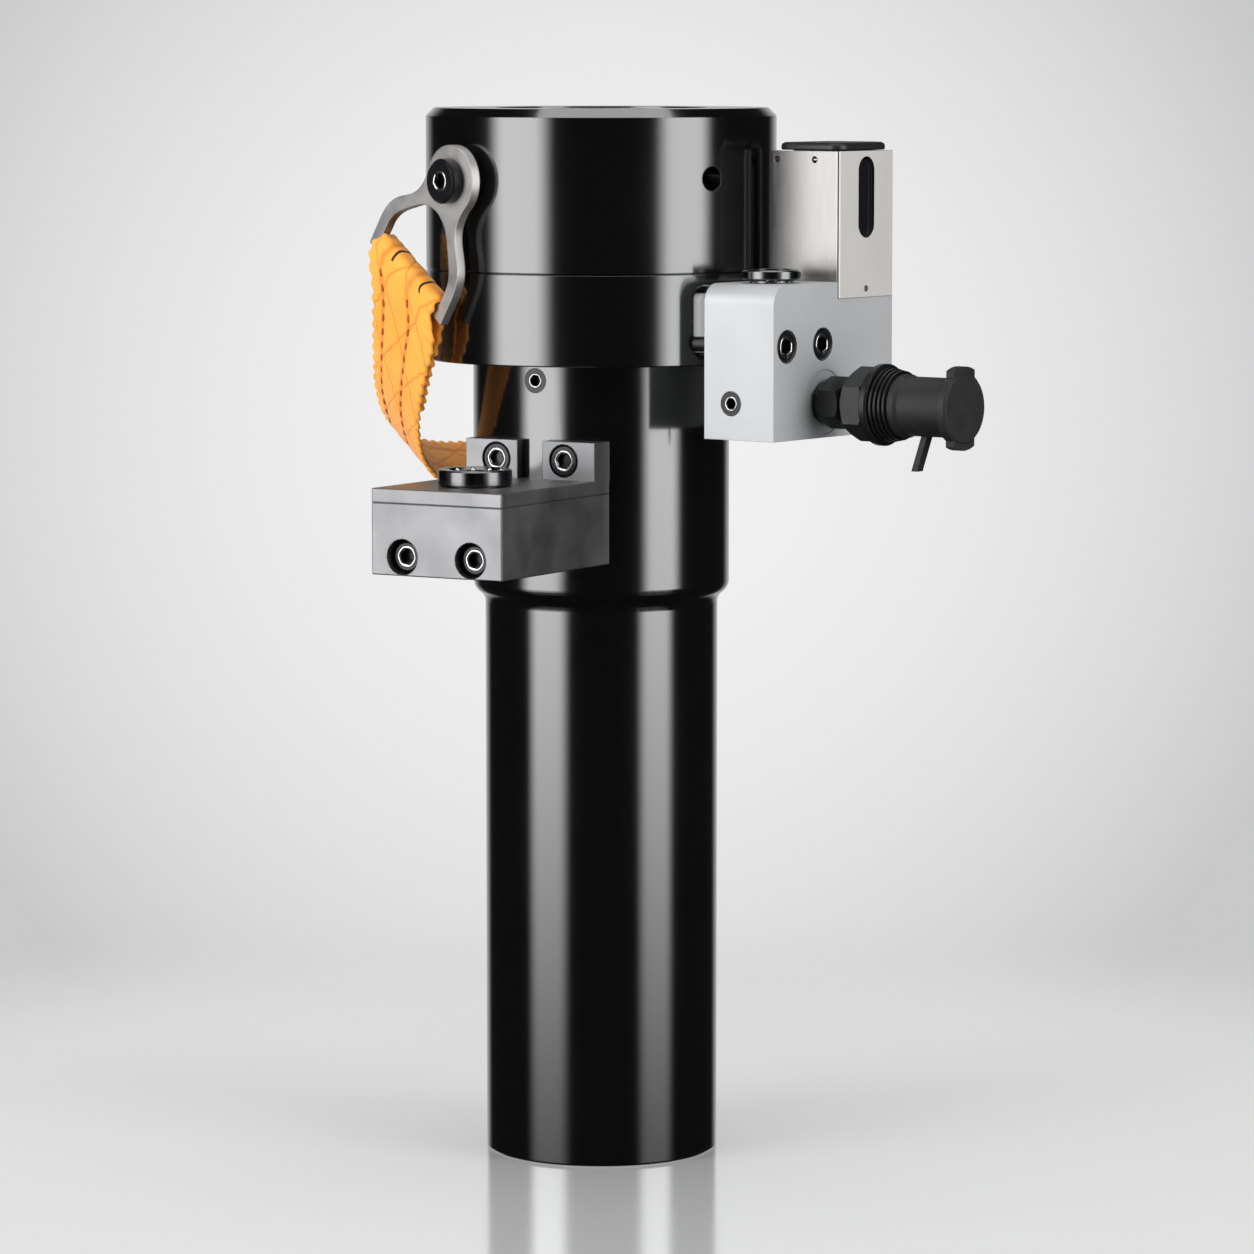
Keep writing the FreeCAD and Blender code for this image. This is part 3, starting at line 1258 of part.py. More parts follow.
def release_valve():
    """Knob on a stem in a threaded bonnet, with detent balls round the bonnet's neck."""
    at = (KNOB_OUT, KNOB_SIDE, 0)
    low = BLOCK_TOP - S.bonnet_depth
    blank = turned(
        "BonnetBlank",
        [
            (S.stem_radius + S.fit_gap, low),
            (S.bonnet_thread_radius, low),
            (S.bonnet_thread_radius, BLOCK_TOP),
            (S.bonnet_radius, BLOCK_TOP),
            (S.bonnet_radius, BONNET_TOP),
            (S.stem_radius + S.fit_gap, BONNET_TOP),
        ],
    )
    balls = []
    seats = []
    height = BLOCK_TOP + S.bonnet_rim / 2
    for index in range(int(S.detent_ball_count.value)):
        x, y = polar(S.bonnet_radius, 360.0 / S.detent_ball_count * index)
        balls.append(ball(f"Detent{index}", S.detent_ball_radius, (x, y, height)))
        seats.append(ball(f"DetentSeat{index}", S.detent_ball_radius + S.ball_seat, (x, y, height)))
    node(cut("ValveBonnet", blank, seats), "valve_bonnet", 0, at)
    node(group("DetentBalls", balls), "detent_balls", 0, at)
    knob = turned(
        "KnobBlank",
        [
            (S.stem_radius, KNOB_BOTTOM),
            (S.knob_radius - S.knob_edge, KNOB_BOTTOM),
            (S.knob_radius, KNOB_BOTTOM + S.knob_edge),
            (S.knob_radius, KNOB_TOP - S.knob_edge),
            (S.knob_radius - S.knob_edge, KNOB_TOP),
            (S.knob_recess_radius, KNOB_TOP),
            (S.knob_recess_radius, KNOB_TOP - S.knob_recess_depth),
            (S.stem_radius, KNOB_TOP - S.knob_recess_depth),
        ],
    )
    node(knob, "release_knob", 0, at)
    stem_top = KNOB_TOP - S.knob_recess_depth + S.stem_end
    stem = turned(
        "StemBlank",
        [
            (0, STEM_TIP),
            (S.stem_radius / 2, STEM_TIP),
            (S.stem_radius, STEM_TIP + S.stem_point),
            (S.stem_radius, stem_top),
            (0, stem_top),
        ],
    )
    node(stem, "valve_stem", 0, at)


def gauge_cover():
    """Bent stainless cover over the counter capsule, its window and its lid."""
    back, front = COVER_BACK, COVER_FRONT
    left, right = COVER_LEFT, BLOCK_RIGHT
    foot = BLOCK_TOP - S.notch_height + S.sheet_gap
    outer = block("CoverOuter", (back, left, foot), (front, right, COVER_TOP))

    def upright(edge):
        box = edge.BoundBox
        return box.ZLength > 1

    rounded = filleted("CoverRounded", outer, S.cover_bend, upright)
    middle = (SLOT_BOTTOM + S.slot_width / 2, SLOT_TOP - S.slot_width / 2)
    tools = [
        block("CoverHollow", (back + S.cover_sheet, left + S.cover_sheet, foot - 5),
              (front - S.cover_sheet, right - S.cover_sheet, COVER_TOP + 5)),
        block("CoverBackOpening", (back - 5, left + S.cover_flange, foot - 5),
              (back + 10, right - S.cover_flange, COVER_TOP + 5)),
        block("CoverSkirt", (back - 5, left - 5, foot - 5),
              (front - S.cover_sheet, right + 5, BLOCK_TOP + S.sheet_gap)),
        block("SlotMiddle", (front - 10, SLOT_SIDE - S.slot_width / 2, middle[0]),
              (front + 10, SLOT_SIDE + S.slot_width / 2, middle[1])),
        rod("SkirtHole", S.rivet_hole_radius, 20, (front - 10, SLOT_SIDE, foot + S.rivet_drop), OUT),
    ]
    for index, height in enumerate(middle):
        tools.append(rod(f"SlotEnd{index}", S.slot_width / 2, 20, (front - 10, SLOT_SIDE, height), OUT))
    for index, out in enumerate((back + S.rivet_drop, front - S.rivet_drop * 3.5)):
        tools.append(rod(f"RivetHole{index}", S.rivet_hole_radius, 20, (out, left - 5, COVER_TOP - S.rivet_drop), SIDE))
    node(cut("SensorCover", rounded, tools), "gauge_cover")
    window_front = front - S.cover_sheet
    margin = S.window_margin
    node(block("CounterWindow", (window_front - S.window_thickness, SLOT_SIDE - S.slot_width / 2 - margin,
                                 SLOT_BOTTOM - margin),
               (window_front, SLOT_SIDE + S.slot_width / 2 + margin, LID_BOTTOM - S.running_gap)), "counter_window", 0,
         (window_front - S.window_thickness, SLOT_SIDE - S.slot_width / 2 - margin, SLOT_BOTTOM - margin))
    capsule = turned(
        "CapsuleBlank",
        [
            (0, 0),
            (CAPSULE_RADIUS, 0),
            (CAPSULE_RADIUS, CAPSULE_TOP - BLOCK_TOP - S.capsule_edge),
            (CAPSULE_RADIUS - S.capsule_edge, CAPSULE_TOP - BLOCK_TOP),
            (0, CAPSULE_TOP - BLOCK_TOP),
        ],
    )
    node(capsule, "counter_capsule", 0, (CAPSULE_OUT, SLOT_SIDE, BLOCK_TOP))
    inset = S.cover_sheet + S.lid_inset
    lid = block("LidBox", (back + inset, left + inset, LID_BOTTOM), (front - inset, right - inset, LID_TOP))

    def lid_corner(edge):
        return edge.BoundBox.ZLength > 1

    rounded_lid = filleted("LidRounded", lid, S.lid_corner, lid_corner)

    def lid_rim(edge):
        box = edge.BoundBox
        return box.ZLength < 1e-6 and abs(box.ZMin - LID_TOP.value) < 1e-6

    node(chamfered("GaugeLid", rounded_lid, S.lid_edge, lid_rim), "gauge_lid")


def hose_coupling():
    """Port adapter, nipple with its lock ring, and the dust cap that pulls off."""
    at = (BLOCK_FRONT, S.coupling_side, COUPLING_HEIGHT)

    def along_axis(item, label):
        item.Label = label
        place(item, at, OUT)
        NODES.append(item)

    waist = S.coupling_waist_radius
    adapter = turned(
        "PortAdapterBlank",
        [
            (S.nipple_bore_radius, -S.port_thread_depth),
            (S.port_thread_radius, -S.port_thread_depth),
            (S.port_thread_radius, -S.spot_face_depth),
            (S.coupling_neck_radius, -S.spot_face_depth),
            (S.coupling_neck_radius, S.coupling_neck_length),
            (waist, S.coupling_neck_length),
            (waist, ADAPTER_HEX_END + S.adapter_end),
            (S.nipple_bore_radius, ADAPTER_HEX_END + S.adapter_end),
        ],
    )
    adapter_hex = eased_hexagon("PortAdapterHex", S.adapter_flats, S.coupling_neck_length, ADAPTER_HEX_END)
    hex_bore = rod("PortAdapterBore", S.nipple_bore_radius, ADAPTER_HEX_END * 2)
    along_axis(cut("PortAdapter", join("PortAdapterSolid", [adapter, adapter_hex]), [hex_bore]), "port_adapter")
    nipple = turned(
        "NippleBlank",
        [
            (S.nipple_bore_radius, ADAPTER_HEX_END + S.adapter_end),
            (waist + S.coupling_collar, ADAPTER_HEX_END + S.adapter_end),
            (waist + S.coupling_collar, NIPPLE_HEX_END),
            (S.nipple_radius, NIPPLE_HEX_END),
            (S.nipple_radius, NIPPLE_TIP - S.nipple_edge),
            (S.nipple_radius - S.nipple_edge, NIPPLE_TIP),
            (S.nipple_bore_radius, NIPPLE_TIP),
        ],
    )
    nipple_hex = eased_hexagon("NippleHex", S.nipple_flats, NIPPLE_HEX_START, NIPPLE_HEX_END)
    nipple_hole = rod("NippleHole", S.nipple_bore_radius, NIPPLE_TIP * 2)
    along_axis(cut("Nipple", join("NippleSolid", [nipple, nipple_hex]), [nipple_hole]), "coupling_nipple")

    inner = S.nipple_radius + S.fit_gap
    count = int(S.rib_count.value)
    outline = [
        (inner, LOCK_RING_START),
        (S.lock_ring_radius - S.lock_ring_edge, LOCK_RING_START),
        (S.lock_ring_radius, LOCK_RING_START + S.lock_ring_edge),
        (S.lock_ring_radius, LOCK_RING_END - S.lock_ring_edge),
        (S.lock_ring_radius - S.lock_ring_edge, LOCK_RING_END),
    ]
    pitch = (RIB_END - LOCK_RING_END) / count
    for index in range(count):
        start = LOCK_RING_END + pitch * index
        crest = S.rib_radius - S.rib_taper * index
        outline += [
            (crest - S.rib_depth, start + pitch * 0.05),
            (crest - S.rib_depth, start + pitch * 0.35),
            (crest, start + pitch * 0.45),
            (crest, start + pitch * 0.95),
        ]
    outline.append((inner, RIB_END - pitch * 0.05))
    along_axis(turned("LockRing", outline), "lock_ring")

    cap = turned(
        "CapBlank",
        [
            (CAP_BORE, CAP_START),
            (CAP_RADIUS + S.cap_bead, CAP_START),
            (CAP_RADIUS + S.cap_bead, CAP_START + S.cap_bead_length),
            (CAP_RADIUS, CAP_START + S.cap_bead_length * 1.5),
            (CAP_RADIUS, CAP_DISC_START - S.cap_edge),
            (CAP_DISC_RADIUS, CAP_DISC_START),
            (CAP_DISC_RADIUS, CAP_END - S.cap_edge),
            (CAP_DISC_RADIUS - S.cap_edge, CAP_END),
            (0, CAP_END),
            (0, NIPPLE_TIP + S.running_gap),
            (CAP_BORE, NIPPLE_TIP + S.running_gap),
        ],
    )
    tab = common(
        "CapTab",
        rod("CapTabRound", CAP_TAB_REACH, S.cap_disc_thickness - S.cap_edge / 2, (0, 0, CAP_DISC_START)),
        block("CapTabBox", (-CAP_TAB_REACH - 1, -S.cap_tab_width / 2, CAP_DISC_START - 1),
              (CAP_TAB_REACH + 1, S.cap_tab_width / 2, CAP_END + 1)),
    )
    lean = math.radians(S.cap_tail_lean.value)
    reach = CAP_RADIUS + S.cap_tail_length
    half = S.cap_tail_thickness / 2
    tail_at = CAP_START + S.cap_tail_at
    shift = S.cap_tail_length * math.tan(lean)
    tail = plate(
        "CapTail",
        [
            (CAP_RADIUS - S.cap_wall / 2, tail_at - half),
            (reach, tail_at - half - shift),
            (reach, tail_at + half - shift),
            (CAP_RADIUS - S.cap_wall / 2, tail_at + half),
        ],
        -S.cap_tail_width / 2,
        S.cap_tail_width / 2,
    )
    tail.Placement = FreeCAD.Placement(FreeCAD.Vector(), FreeCAD.Rotation(OUT, 90))
    along_axis(join("DustCap", [cap, tab, tail]), "dust_cap")


def pivot_screws():
    """Shoulder screws and spacers that carry the two hangers."""
    screws = []
    spacers = []
    face = HANGER_OUTER + S.running_gap
    for side in (0, 180):
        angle = S.hanger_turn + side
        outward = FreeCAD.Rotation(UP, angle.value).multVec(OUT)
        top = HANGER_OUTER + S.hanger_head_proud
        blank = turned(
            f"PivotBlank{side}",
            [
                (0, HANGER_THREAD_END),
                (S.hanger_thread_radius, HANGER_THREAD_END),
                (S.hanger_thread_radius, HEAD_RADIUS + S.fit_gap),
                (S.shoulder_radius, HEAD_RADIUS + S.fit_gap),
                (S.shoulder_radius, face),
                (S.hanger_head_radius, face),
                (S.hanger_head_radius, top - 1),
                (S.hanger_head_radius - 1, top),
                (0, top),
            ],
        )
        key = hexagon(f"PivotKey{side}", S.screw_socket, S.screw_socket_depth, (0, 0, top - S.screw_socket_depth))
        screws.append(place(cut(f"PivotScrew{side}", blank, [key]), (0, 0, PIVOT_HEIGHT), outward))
        tube = ring(f"SpacerBlank{side}", S.shoulder_radius + S.fit_gap, S.spacer_radius, HEAD_RADIUS - 2,
                    HANGER_INNER - S.running_gap)
        place(tube, (0, 0, PIVOT_HEIGHT), outward)
        fit = rod(f"SpacerFit{side}", HEAD_RADIUS + S.fit_gap, 60, (0, 0, PIVOT_HEIGHT - 30))
        spacers.append(cut(f"Spacer{side}", tube, [fit]))
    node(group("HangerScrews", screws), "hanger_screws")
    node(group("HangerSpacers", spacers), "hanger_spacers")


def curve_through(points):
    """A smooth open curve through a few places."""
    spline = Part.BSplineCurve()
    spline.interpolate(points)
    return spline.toShape()


# The hanger's outer and inner curves, as shares of its half width and of its bar's distance
HANGER_OUTSIDE = ((0.493, 0.09), (0.48, 0.2), (0.517, 0.3), (0.63, 0.4), (0.805, 0.5), (0.928, 0.6), (0.983, 0.7),
                  (1.0, 0.8))
HANGER_INSIDE = ((0.154, 0.332), (0.366, 0.4), (0.531, 0.5), (0.682, 0.6), (0.781, 0.7), (0.815, 0.8))


def hanger_outline(shares, top_share, foot):
    """A closed face between mirrored side curves, an arc at the top and a straight foot."""
    half = S.hanger_half_width.value
    bar_at = S.hanger_bar_at.value
    right = [FreeCAD.Vector(half * across, bar_at * down, 0) for across, down in shares]
    left = [FreeCAD.Vector(-point.x, point.y, 0) for point in right]
    right_foot = FreeCAD.Vector(right[-1].x, foot, 0)
    left_foot = FreeCAD.Vector(left[-1].x, foot, 0)
    edges = [
        Part.Arc(left[0], FreeCAD.Vector(0, bar_at * top_share, 0), right[0]).toShape(),
        curve_through(right),
        Part.LineSegment(right[-1], right_foot).toShape(),
        Part.LineSegment(right_foot, left_foot).toShape(),
        Part.LineSegment(left_foot, left[-1]).toShape(),
        curve_through(left[::-1]),
    ]
    return Part.Face(Part.Wire(edges))


def hanger_shape():
    """Flat hanger in its own plane: X across, Y down from the pivot, thickness along Z."""
    thick = S.hanger_thickness.value
    bar_at = S.hanger_bar_at.value
    bar_half = S.hanger_bar_width.value / 2
    outer = hanger_outline(HANGER_OUTSIDE, -0.05, bar_at + bar_half).extrude(UP * thick)
    inner = hanger_outline(HANGER_INSIDE, 0.316, bar_at - bar_half).extrude(UP * thick)
    disc = Part.makeCylinder(S.hanger_ring_radius.value, thick)
    hole = Part.makeCylinder(S.hanger_hole_radius.value, thick + 2, FreeCAD.Vector(0, 0, -1))
    return outer.cut(inner).fuse(disc).cut(hole).removeSplitter()


# The strap's run from a hanger's bar to its lowest point, as shares of its side and of its sag
STRAP_RUN = ((1.0, 0.0), (0.911, 0.46), (0.653, 0.82), (0.0, 1.0))


def in_hanger_frame(shape, first_turn):
    """Takes a shape with X along the pivot axis and Y downwards to its leaning place on the tool."""
    placed = shape.copy()
    placed.Placement = FreeCAD.Placement(UP * PIVOT_HEIGHT.value, FreeCAD.Rotation(UP, S.hanger_turn.value)) \
        .multiply(FreeCAD.Placement(FreeCAD.Vector(), FreeCAD.Rotation(OUT, -S.strap_lean.value))) \
        .multiply(first_turn)
    return placed


def carrying_strap():
    """Two hangers and the webbing strap folded round their bars."""
    for label, side in (("hanger_front", 1), ("hanger_back", -1)):
        # The hanger's plane faces along the pivot axis, and its Y axis points down
        start = HANGER_INNER.value if side > 0 else -HANGER_OUTER.value
        stand = FreeCAD.Placement(
            FreeCAD.Vector(start, 0, 0),
            FreeCAD.Rotation(-SIDE, -UP, OUT, "ZXY"),
        )
        item = shaped(label.title().replace("_", ""), hanger_shape())
        item.Label = label
        item.Placement = in_hanger_frame(Part.Shape(), stand).Placement
        NODES.append(item)
    thick = S.strap_thickness.value
    wide = S.strap_width.value
    bar = S.hanger_bar_at.value
    sag = S.strap_sag.value
    middle = (HANGER_INNER.value + HANGER_OUTER.value) / 2
    centre = [(middle * across, bar + sag * down) for across, down in STRAP_RUN]
    centre += [(-side, drop) for side, drop in reversed(centre[:-1])]
    path = [FreeCAD.Vector(side, 0, -drop) for side, drop in centre]
    spline = Part.BSplineCurve()
    spline.interpolate(path)
    steps = 24
    outer = []
    inner = []
    for index in range(steps + 1):
        at = spline.FirstParameter + (spline.LastParameter - spline.FirstParameter) * index / steps
        point = spline.value(at)
        along = spline.tangent(at)[0]
        across = FreeCAD.Vector(-along.z, 0, along.x)
        outer.append(point + across * (thick / 2))
        inner.append(point - across * (thick / 2))
    edges = [
        curve_through(outer),
        Part.LineSegment(outer[-1], inner[-1]).toShape(),
        curve_through(inner[::-1]),
        Part.LineSegment(inner[0], outer[0]).toShape(),
    ]
    band = Part.Face(Part.Wire(edges)).extrude(FreeCAD.Vector(0, wide, 0))
    band.translate(FreeCAD.Vector(0, -wide / 2, 0))
    gap = S.strap_fold_gap.value
    reach = S.hanger_thickness.value / 2 + gap
    bar_half = S.hanger_bar_width.value / 2 + gap
    fold_half = reach + thick
    fold_tall = 2 * (bar_half + thick) + S.strap_overlap.value
    fold_top = thick + bar_half - bar
    # The loop lies between the hanger's arms, so it is narrower than the band below it
    loop = 2 * (S.hanger_half_width.value * HANGER_INSIDE[-1][0] - gap)
    arm_end = S.hanger_bar_width.value / 2 + gap
    for sign in (-1, 1):
        fold = Part.makeBox(2 * fold_half, loop, fold_tall,
                            FreeCAD.Vector(sign * middle - fold_half, -loop / 2, fold_top - fold_tall))
        rim = [edge for edge in fold.Edges if edge.BoundBox.XLength < 1e-6 and edge.BoundBox.ZLength < 1e-6]
        band = band.fuse(fold.makeFillet(thick * 0.95, rim))
    for sign in (-1, 1):
        opening = Part.makeBox(2 * reach, wide + 2, 2 * bar_half,
                               FreeCAD.Vector(sign * middle - reach, -wide / 2 - 1, -bar - bar_half))
        band = band.cut(opening)
        for side in (-1, 1):
            across = side * (loop / 2 + wide / 4)
            arm = Part.makeBox(4 * fold_half, wide / 2, fold_tall,
                               FreeCAD.Vector(sign * middle - 2 * fold_half, across - wide / 4, -bar - arm_end))
            band = band.cut(arm)
    item = shaped("CarryStrap", band)
    item.Label = "carry_strap"
    item.Placement = in_hanger_frame(Part.Shape(), FreeCAD.Placement()).Placement
    NODES.append(item)


def build():
    """Makes every sub-part, checks them and writes one file for each."""
    bridge()
    head()
    piston_group()
    nut_drive()
    gearbox()
    gears()
    barrel_plug()
    coupling_block()
    release_valve()
    gauge_cover()
    hose_coupling()
    pivot_screws()
    carrying_strap()
    doc.recompute()
    for item in doc.Objects:
        if "Invalid" in item.State or "Error" in item.State:
            raise RuntimeError(f"{item.Name} ({item.Label}) failed: {item.State}")
    os.makedirs("parts", exist_ok=True)
    for item in NODES:
        shape = item.Shape
        if shape.isNull() or not shape.isValid() or not shape.Solids:
            raise RuntimeError(f"{item.Label} has no valid solid")
        shape.exportStep(os.path.join("parts", item.Label + ".step"))
        box = shape.BoundBox
        print(f"{item.Label:24s} solids {len(shape.Solids):2d}  volume {shape.Volume / 1000:9.2f} cm3  "
              f"x {box.XMin:7.1f} {box.XMax:7.1f}  y {box.YMin:7.1f} {box.YMax:7.1f}  "
              f"z {box.ZMin:6.1f} {box.ZMax:6.1f}")
    print(len(NODES), "sub-parts")


build()
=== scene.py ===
"""Dress, light and frame the bolt tensioner."""

import logging
import math
from dataclasses import dataclass, field
from enum import Enum

import bmesh
import bpy
from mathutils import Matrix, Vector


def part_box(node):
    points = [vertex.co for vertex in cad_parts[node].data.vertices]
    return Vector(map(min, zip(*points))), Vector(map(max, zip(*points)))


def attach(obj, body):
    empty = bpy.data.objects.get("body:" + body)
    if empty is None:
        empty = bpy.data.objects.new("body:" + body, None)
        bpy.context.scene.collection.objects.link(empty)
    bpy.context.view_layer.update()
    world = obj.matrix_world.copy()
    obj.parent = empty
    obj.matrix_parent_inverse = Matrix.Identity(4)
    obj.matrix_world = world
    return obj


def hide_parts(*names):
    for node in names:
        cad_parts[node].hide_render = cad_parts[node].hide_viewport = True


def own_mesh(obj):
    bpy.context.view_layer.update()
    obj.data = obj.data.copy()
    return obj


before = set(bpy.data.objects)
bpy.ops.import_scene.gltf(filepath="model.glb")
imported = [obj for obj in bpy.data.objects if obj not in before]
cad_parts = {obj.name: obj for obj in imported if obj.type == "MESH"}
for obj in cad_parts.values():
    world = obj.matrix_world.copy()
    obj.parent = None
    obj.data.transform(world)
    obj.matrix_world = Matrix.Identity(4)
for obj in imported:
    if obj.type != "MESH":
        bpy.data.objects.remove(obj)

Rgb = tuple[float, float, float]
Place = tuple[float, float, float]

MM = 0.001
LOG = logging.getLogger("tensioner")


class Axis(Enum):
    """Direction in which a finish is brushed, in the tool's own frame."""

    X = (1.0, 0.0, 0.0)
    Y = (0.0, 1.0, 0.0)
    Z = (0.0, 0.0, 1.0)


class Nodes:
    """Short way to build a node tree."""

    def __init__(self, tree: bpy.types.NodeTree) -> None:
        """Starts from an empty tree.

        Args:
            tree: The tree to fill.
        """
        self.tree = tree
        tree.nodes.clear()

    @classmethod
    def of(cls, tree: bpy.types.NodeTree) -> "Nodes":
        """Opens a tree and keeps its nodes."""
        nodes = cls.__new__(cls)
        nodes.tree = tree
        return nodes

    def first(self, kind: str) -> bpy.types.Node:
        """Finds the first node of a type."""
        return next(node for node in self.tree.nodes if node.bl_idname == kind)

    def add(self, kind: str, **inputs: object) -> bpy.types.Node:
        """Adds a node.

        Args:
            kind: The node's type name.
            **inputs: Node settings, or socket values where no setting has that name.

        Returns:
            The new node.
        """
        node = self.tree.nodes.new(kind)
        for name, value in inputs.items():
            if hasattr(node, name):
                setattr(node, name, value)
            else:
                node.inputs[name.replace("_", " ")].default_value = value
        return node

    def link(self, out: bpy.types.NodeSocket, into: bpy.types.NodeSocket) -> None:
        """Joins two sockets."""
        self.tree.links.new(out, into)

    def math(self, operation: str, first: object, second: object = 0.0) -> bpy.types.NodeSocket:
        """Adds a Math node.

        Args:
            operation: The operation's name.
            first: A socket or a number.
            second: A socket or a number.

        Returns:
            The node's output.
        """
        node = self.add("ShaderNodeMath", operation=operation)
        for index, value in enumerate((first, second)):
            if isinstance(value, bpy.types.NodeSocket):
                self.link(value, node.inputs[index])
            else:
                node.inputs[index].default_value = value
        return node.outputs[0]

    def ramp(self, value: bpy.types.NodeSocket, low: float, high: float, to_low: float,
             to_high: float, smooth: bool = False) -> bpy.types.NodeSocket:
        """Maps a value from one span to another.

        Args:
            value: The socket to map.
            low: Start of the span.
            high: End of the span.
            to_low: Result at the start.
            to_high: Result at the end.
            smooth: Eases both ends.

        Returns:
            The mapped value.
        """
        node = self.add("ShaderNodeMapRange")
        node.interpolation_type = "SMOOTHSTEP" if smooth else "LINEAR"
        self.link(value, node.inputs["Value"])
        spans = {"From Min": low, "From Max": high, "To Min": to_low, "To Max": to_high}
        for name, number in spans.items():
            node.inputs[name].default_value = number
        return node.outputs["Result"]

    def noise(self, coords: bpy.types.NodeSocket, scale: float, detail: float = 3.0,
              stretch: Place = (1.0, 1.0, 1.0)) -> bpy.types.NodeSocket:
        """Adds a noise pattern on given coordinates.

        Args:
            coords: The coordinates' socket.
            scale: Cells per metre.
            detail: Octaves.
            stretch: Factor on each axis.

        Returns:
            The noise value.
        """
        mapping = self.add("ShaderNodeMapping")
        mapping.inputs["Scale"].default_value = stretch
        self.link(coords, mapping.inputs["Vector"])
        noise = self.add("ShaderNodeTexNoise")
        noise.inputs["Scale"].default_value = scale
        noise.inputs["Detail"].default_value = detail
        self.link(mapping.outputs["Vector"], noise.inputs["Vector"])
        return noise.outputs["Fac"]

    def mix(self, factor: bpy.types.NodeSocket, first: Rgb, second: Rgb) -> bpy.types.NodeSocket:
        """Mixes two colours by a factor.

        Args:
            factor: The factor's socket.
            first: Colour at 0.
            second: Colour at 1.

        Returns:
            The mixed colour.
        """
        node = self.add("ShaderNodeMix", data_type="RGBA")
        self.link(factor, node.inputs[0])
        node.inputs[6].default_value = (*first, 1.0)
        node.inputs[7].default_value = (*second, 1.0)
        return node.outputs[2]


@dataclass(frozen=True)
class Finish:
    """A surface finish with cloudy roughness, brushing, fine grain and an optional painted highlight on the
    faces along X.
    """

    name: str
    colour: Rgb
    second: Rgb
    metallic: float = 0.0
    rough_low: float = 0.3
    rough_high: float = 0.4
    cloud_scale: float = 30.0
    grain_scale: float = 1500.0
    grain_depth: float = 0.00001
    brushed: Axis | None = None
    brush_scale: float = 900.0
    brush_depth: float = 0.00001
    coat: float = 0.0
    coat_roughness: float = 0.05
    specular: float = 0.5
    edge: float = 0.0003
    side_rough: float = 0.0
    # Colour of the painted highlight on the faces that look along X.
    side_highlight_colour: Rgb = (1.0, 1.0, 1.0)

    def build(self) -> bpy.types.Material:
        """Makes the material, once.

        Returns:
            The finish as a material.
        """
        label = self.name + "_finish"
        if label in bpy.data.materials:
            return bpy.data.materials[label]
        material = bpy.data.materials.new(label)
        material.use_nodes = True
        nodes = Nodes(material.node_tree)
        coords = nodes.add("ShaderNodeTexCoord").outputs["Object"]
        shader = nodes.add("ShaderNodeBsdfPrincipled")
        shader.inputs["Metallic"].default_value = self.metallic
        shader.inputs["Coat Weight"].default_value = self.coat
        shader.inputs["Coat Roughness"].default_value = self.coat_roughness
        shader.inputs["Specular IOR Level"].default_value = self.specular
        cloud = nodes.noise(coords, self.cloud_scale, 4.0)
        nodes.link(nodes.mix(cloud, self.colour, self.second), shader.inputs["Base Color"])
        rough = nodes.ramp(cloud, 0.3, 0.7, self.rough_low, self.rough_high)
        height = nodes.noise(coords, self.grain_scale, 2.0)
        depth = self.grain_depth
        if self.brushed is not None:
            stretch = tuple(0.02 if part else 1.0 for part in self.brushed.value)
            lines = nodes.noise(coords, self.brush_scale, 3.0, stretch)
            height = nodes.math("ADD", height, nodes.math("MULTIPLY", lines, self.brush_depth / depth))
            spread = nodes.ramp(lines, 0.35, 0.65, -0.04, 0.04)
            rough = nodes.math("ADD", rough, spread)
        # Painted highlight: the faces that look along X get a paler colour as well as more roughness.
        if self.side_rough:
            rough = self.paint_side_highlight(nodes, shader, rough)
        nodes.link(rough, shader.inputs["Roughness"])
        bump = nodes.add("ShaderNodeBump")
        bump.inputs["Distance"].default_value = depth
        bump.inputs["Strength"].default_value = 1.0
        nodes.link(height, bump.inputs["Height"])
        if self.edge:
            bevel = nodes.add("ShaderNodeBevel", samples=4)
            bevel.inputs["Radius"].default_value = self.edge
            nodes.link(bevel.outputs["Normal"], bump.inputs["Normal"])
        nodes.link(bump.outputs["Normal"], shader.inputs["Normal"])
        output = nodes.add("ShaderNodeOutputMaterial")
        nodes.link(shader.outputs["BSDF"], output.inputs["Surface"])
        return material

    def paint_side_highlight(self, nodes: Nodes, shader: bpy.types.Node,
                  rough: bpy.types.NodeSocket) -> bpy.types.NodeSocket:
        """Paints a highlight on the faces that look along X: a paler colour, and a duller finish.

        Args:
            nodes: The material's tree.
            shader: The shader that takes the colour.
            rough: Roughness of the other faces.

        Returns:
            The roughness of every face.
        """
        split = nodes.add("ShaderNodeSeparateXYZ")
        nodes.link(nodes.add("ShaderNodeTexCoord").outputs["Normal"], split.inputs[0])
        side = nodes.ramp(split.outputs["X"], 0.6, 0.9, 0.0, 1.0)
        pale = nodes.add("ShaderNodeMix", data_type="RGBA")
        nodes.link(side, pale.inputs[0])
        nodes.link(shader.inputs["Base Color"].links[0].from_socket, pale.inputs[6])
        pale.inputs[7].default_value = (*self.side_highlight_colour, 1.0)
        nodes.link(pale.outputs[2], shader.inputs["Base Color"])
        return nodes.math("ADD", rough, nodes.math("MULTIPLY", side, self.side_rough))


ENAMEL = Finish("gloss_black_enamel", (0.0012, 0.0012, 0.0014), (0.002, 0.002, 0.0023), rough_low=0.13,
                rough_high=0.17, cloud_scale=14.0, grain_scale=700.0, grain_depth=0.000002, coat=1.0,
                coat_roughness=0.09, specular=1.0, edge=0.0005)
GROUND_STEEL = Finish("ground_steel", (0.22, 0.22, 0.224), (0.27, 0.27, 0.274), metallic=1.0,
                      rough_low=0.40, rough_high=0.52, cloud_scale=55.0, grain_scale=2600.0,
                      grain_depth=0.000004, edge=0.0005)
BLASTED_ALUMINIUM = Finish("blasted_aluminium", (0.68, 0.69, 0.70), (0.74, 0.75, 0.76), metallic=1.0,
                           rough_low=0.66, rough_high=0.72, cloud_scale=40.0, grain_scale=2400.0,
                           grain_depth=0.000012, edge=0.0005)
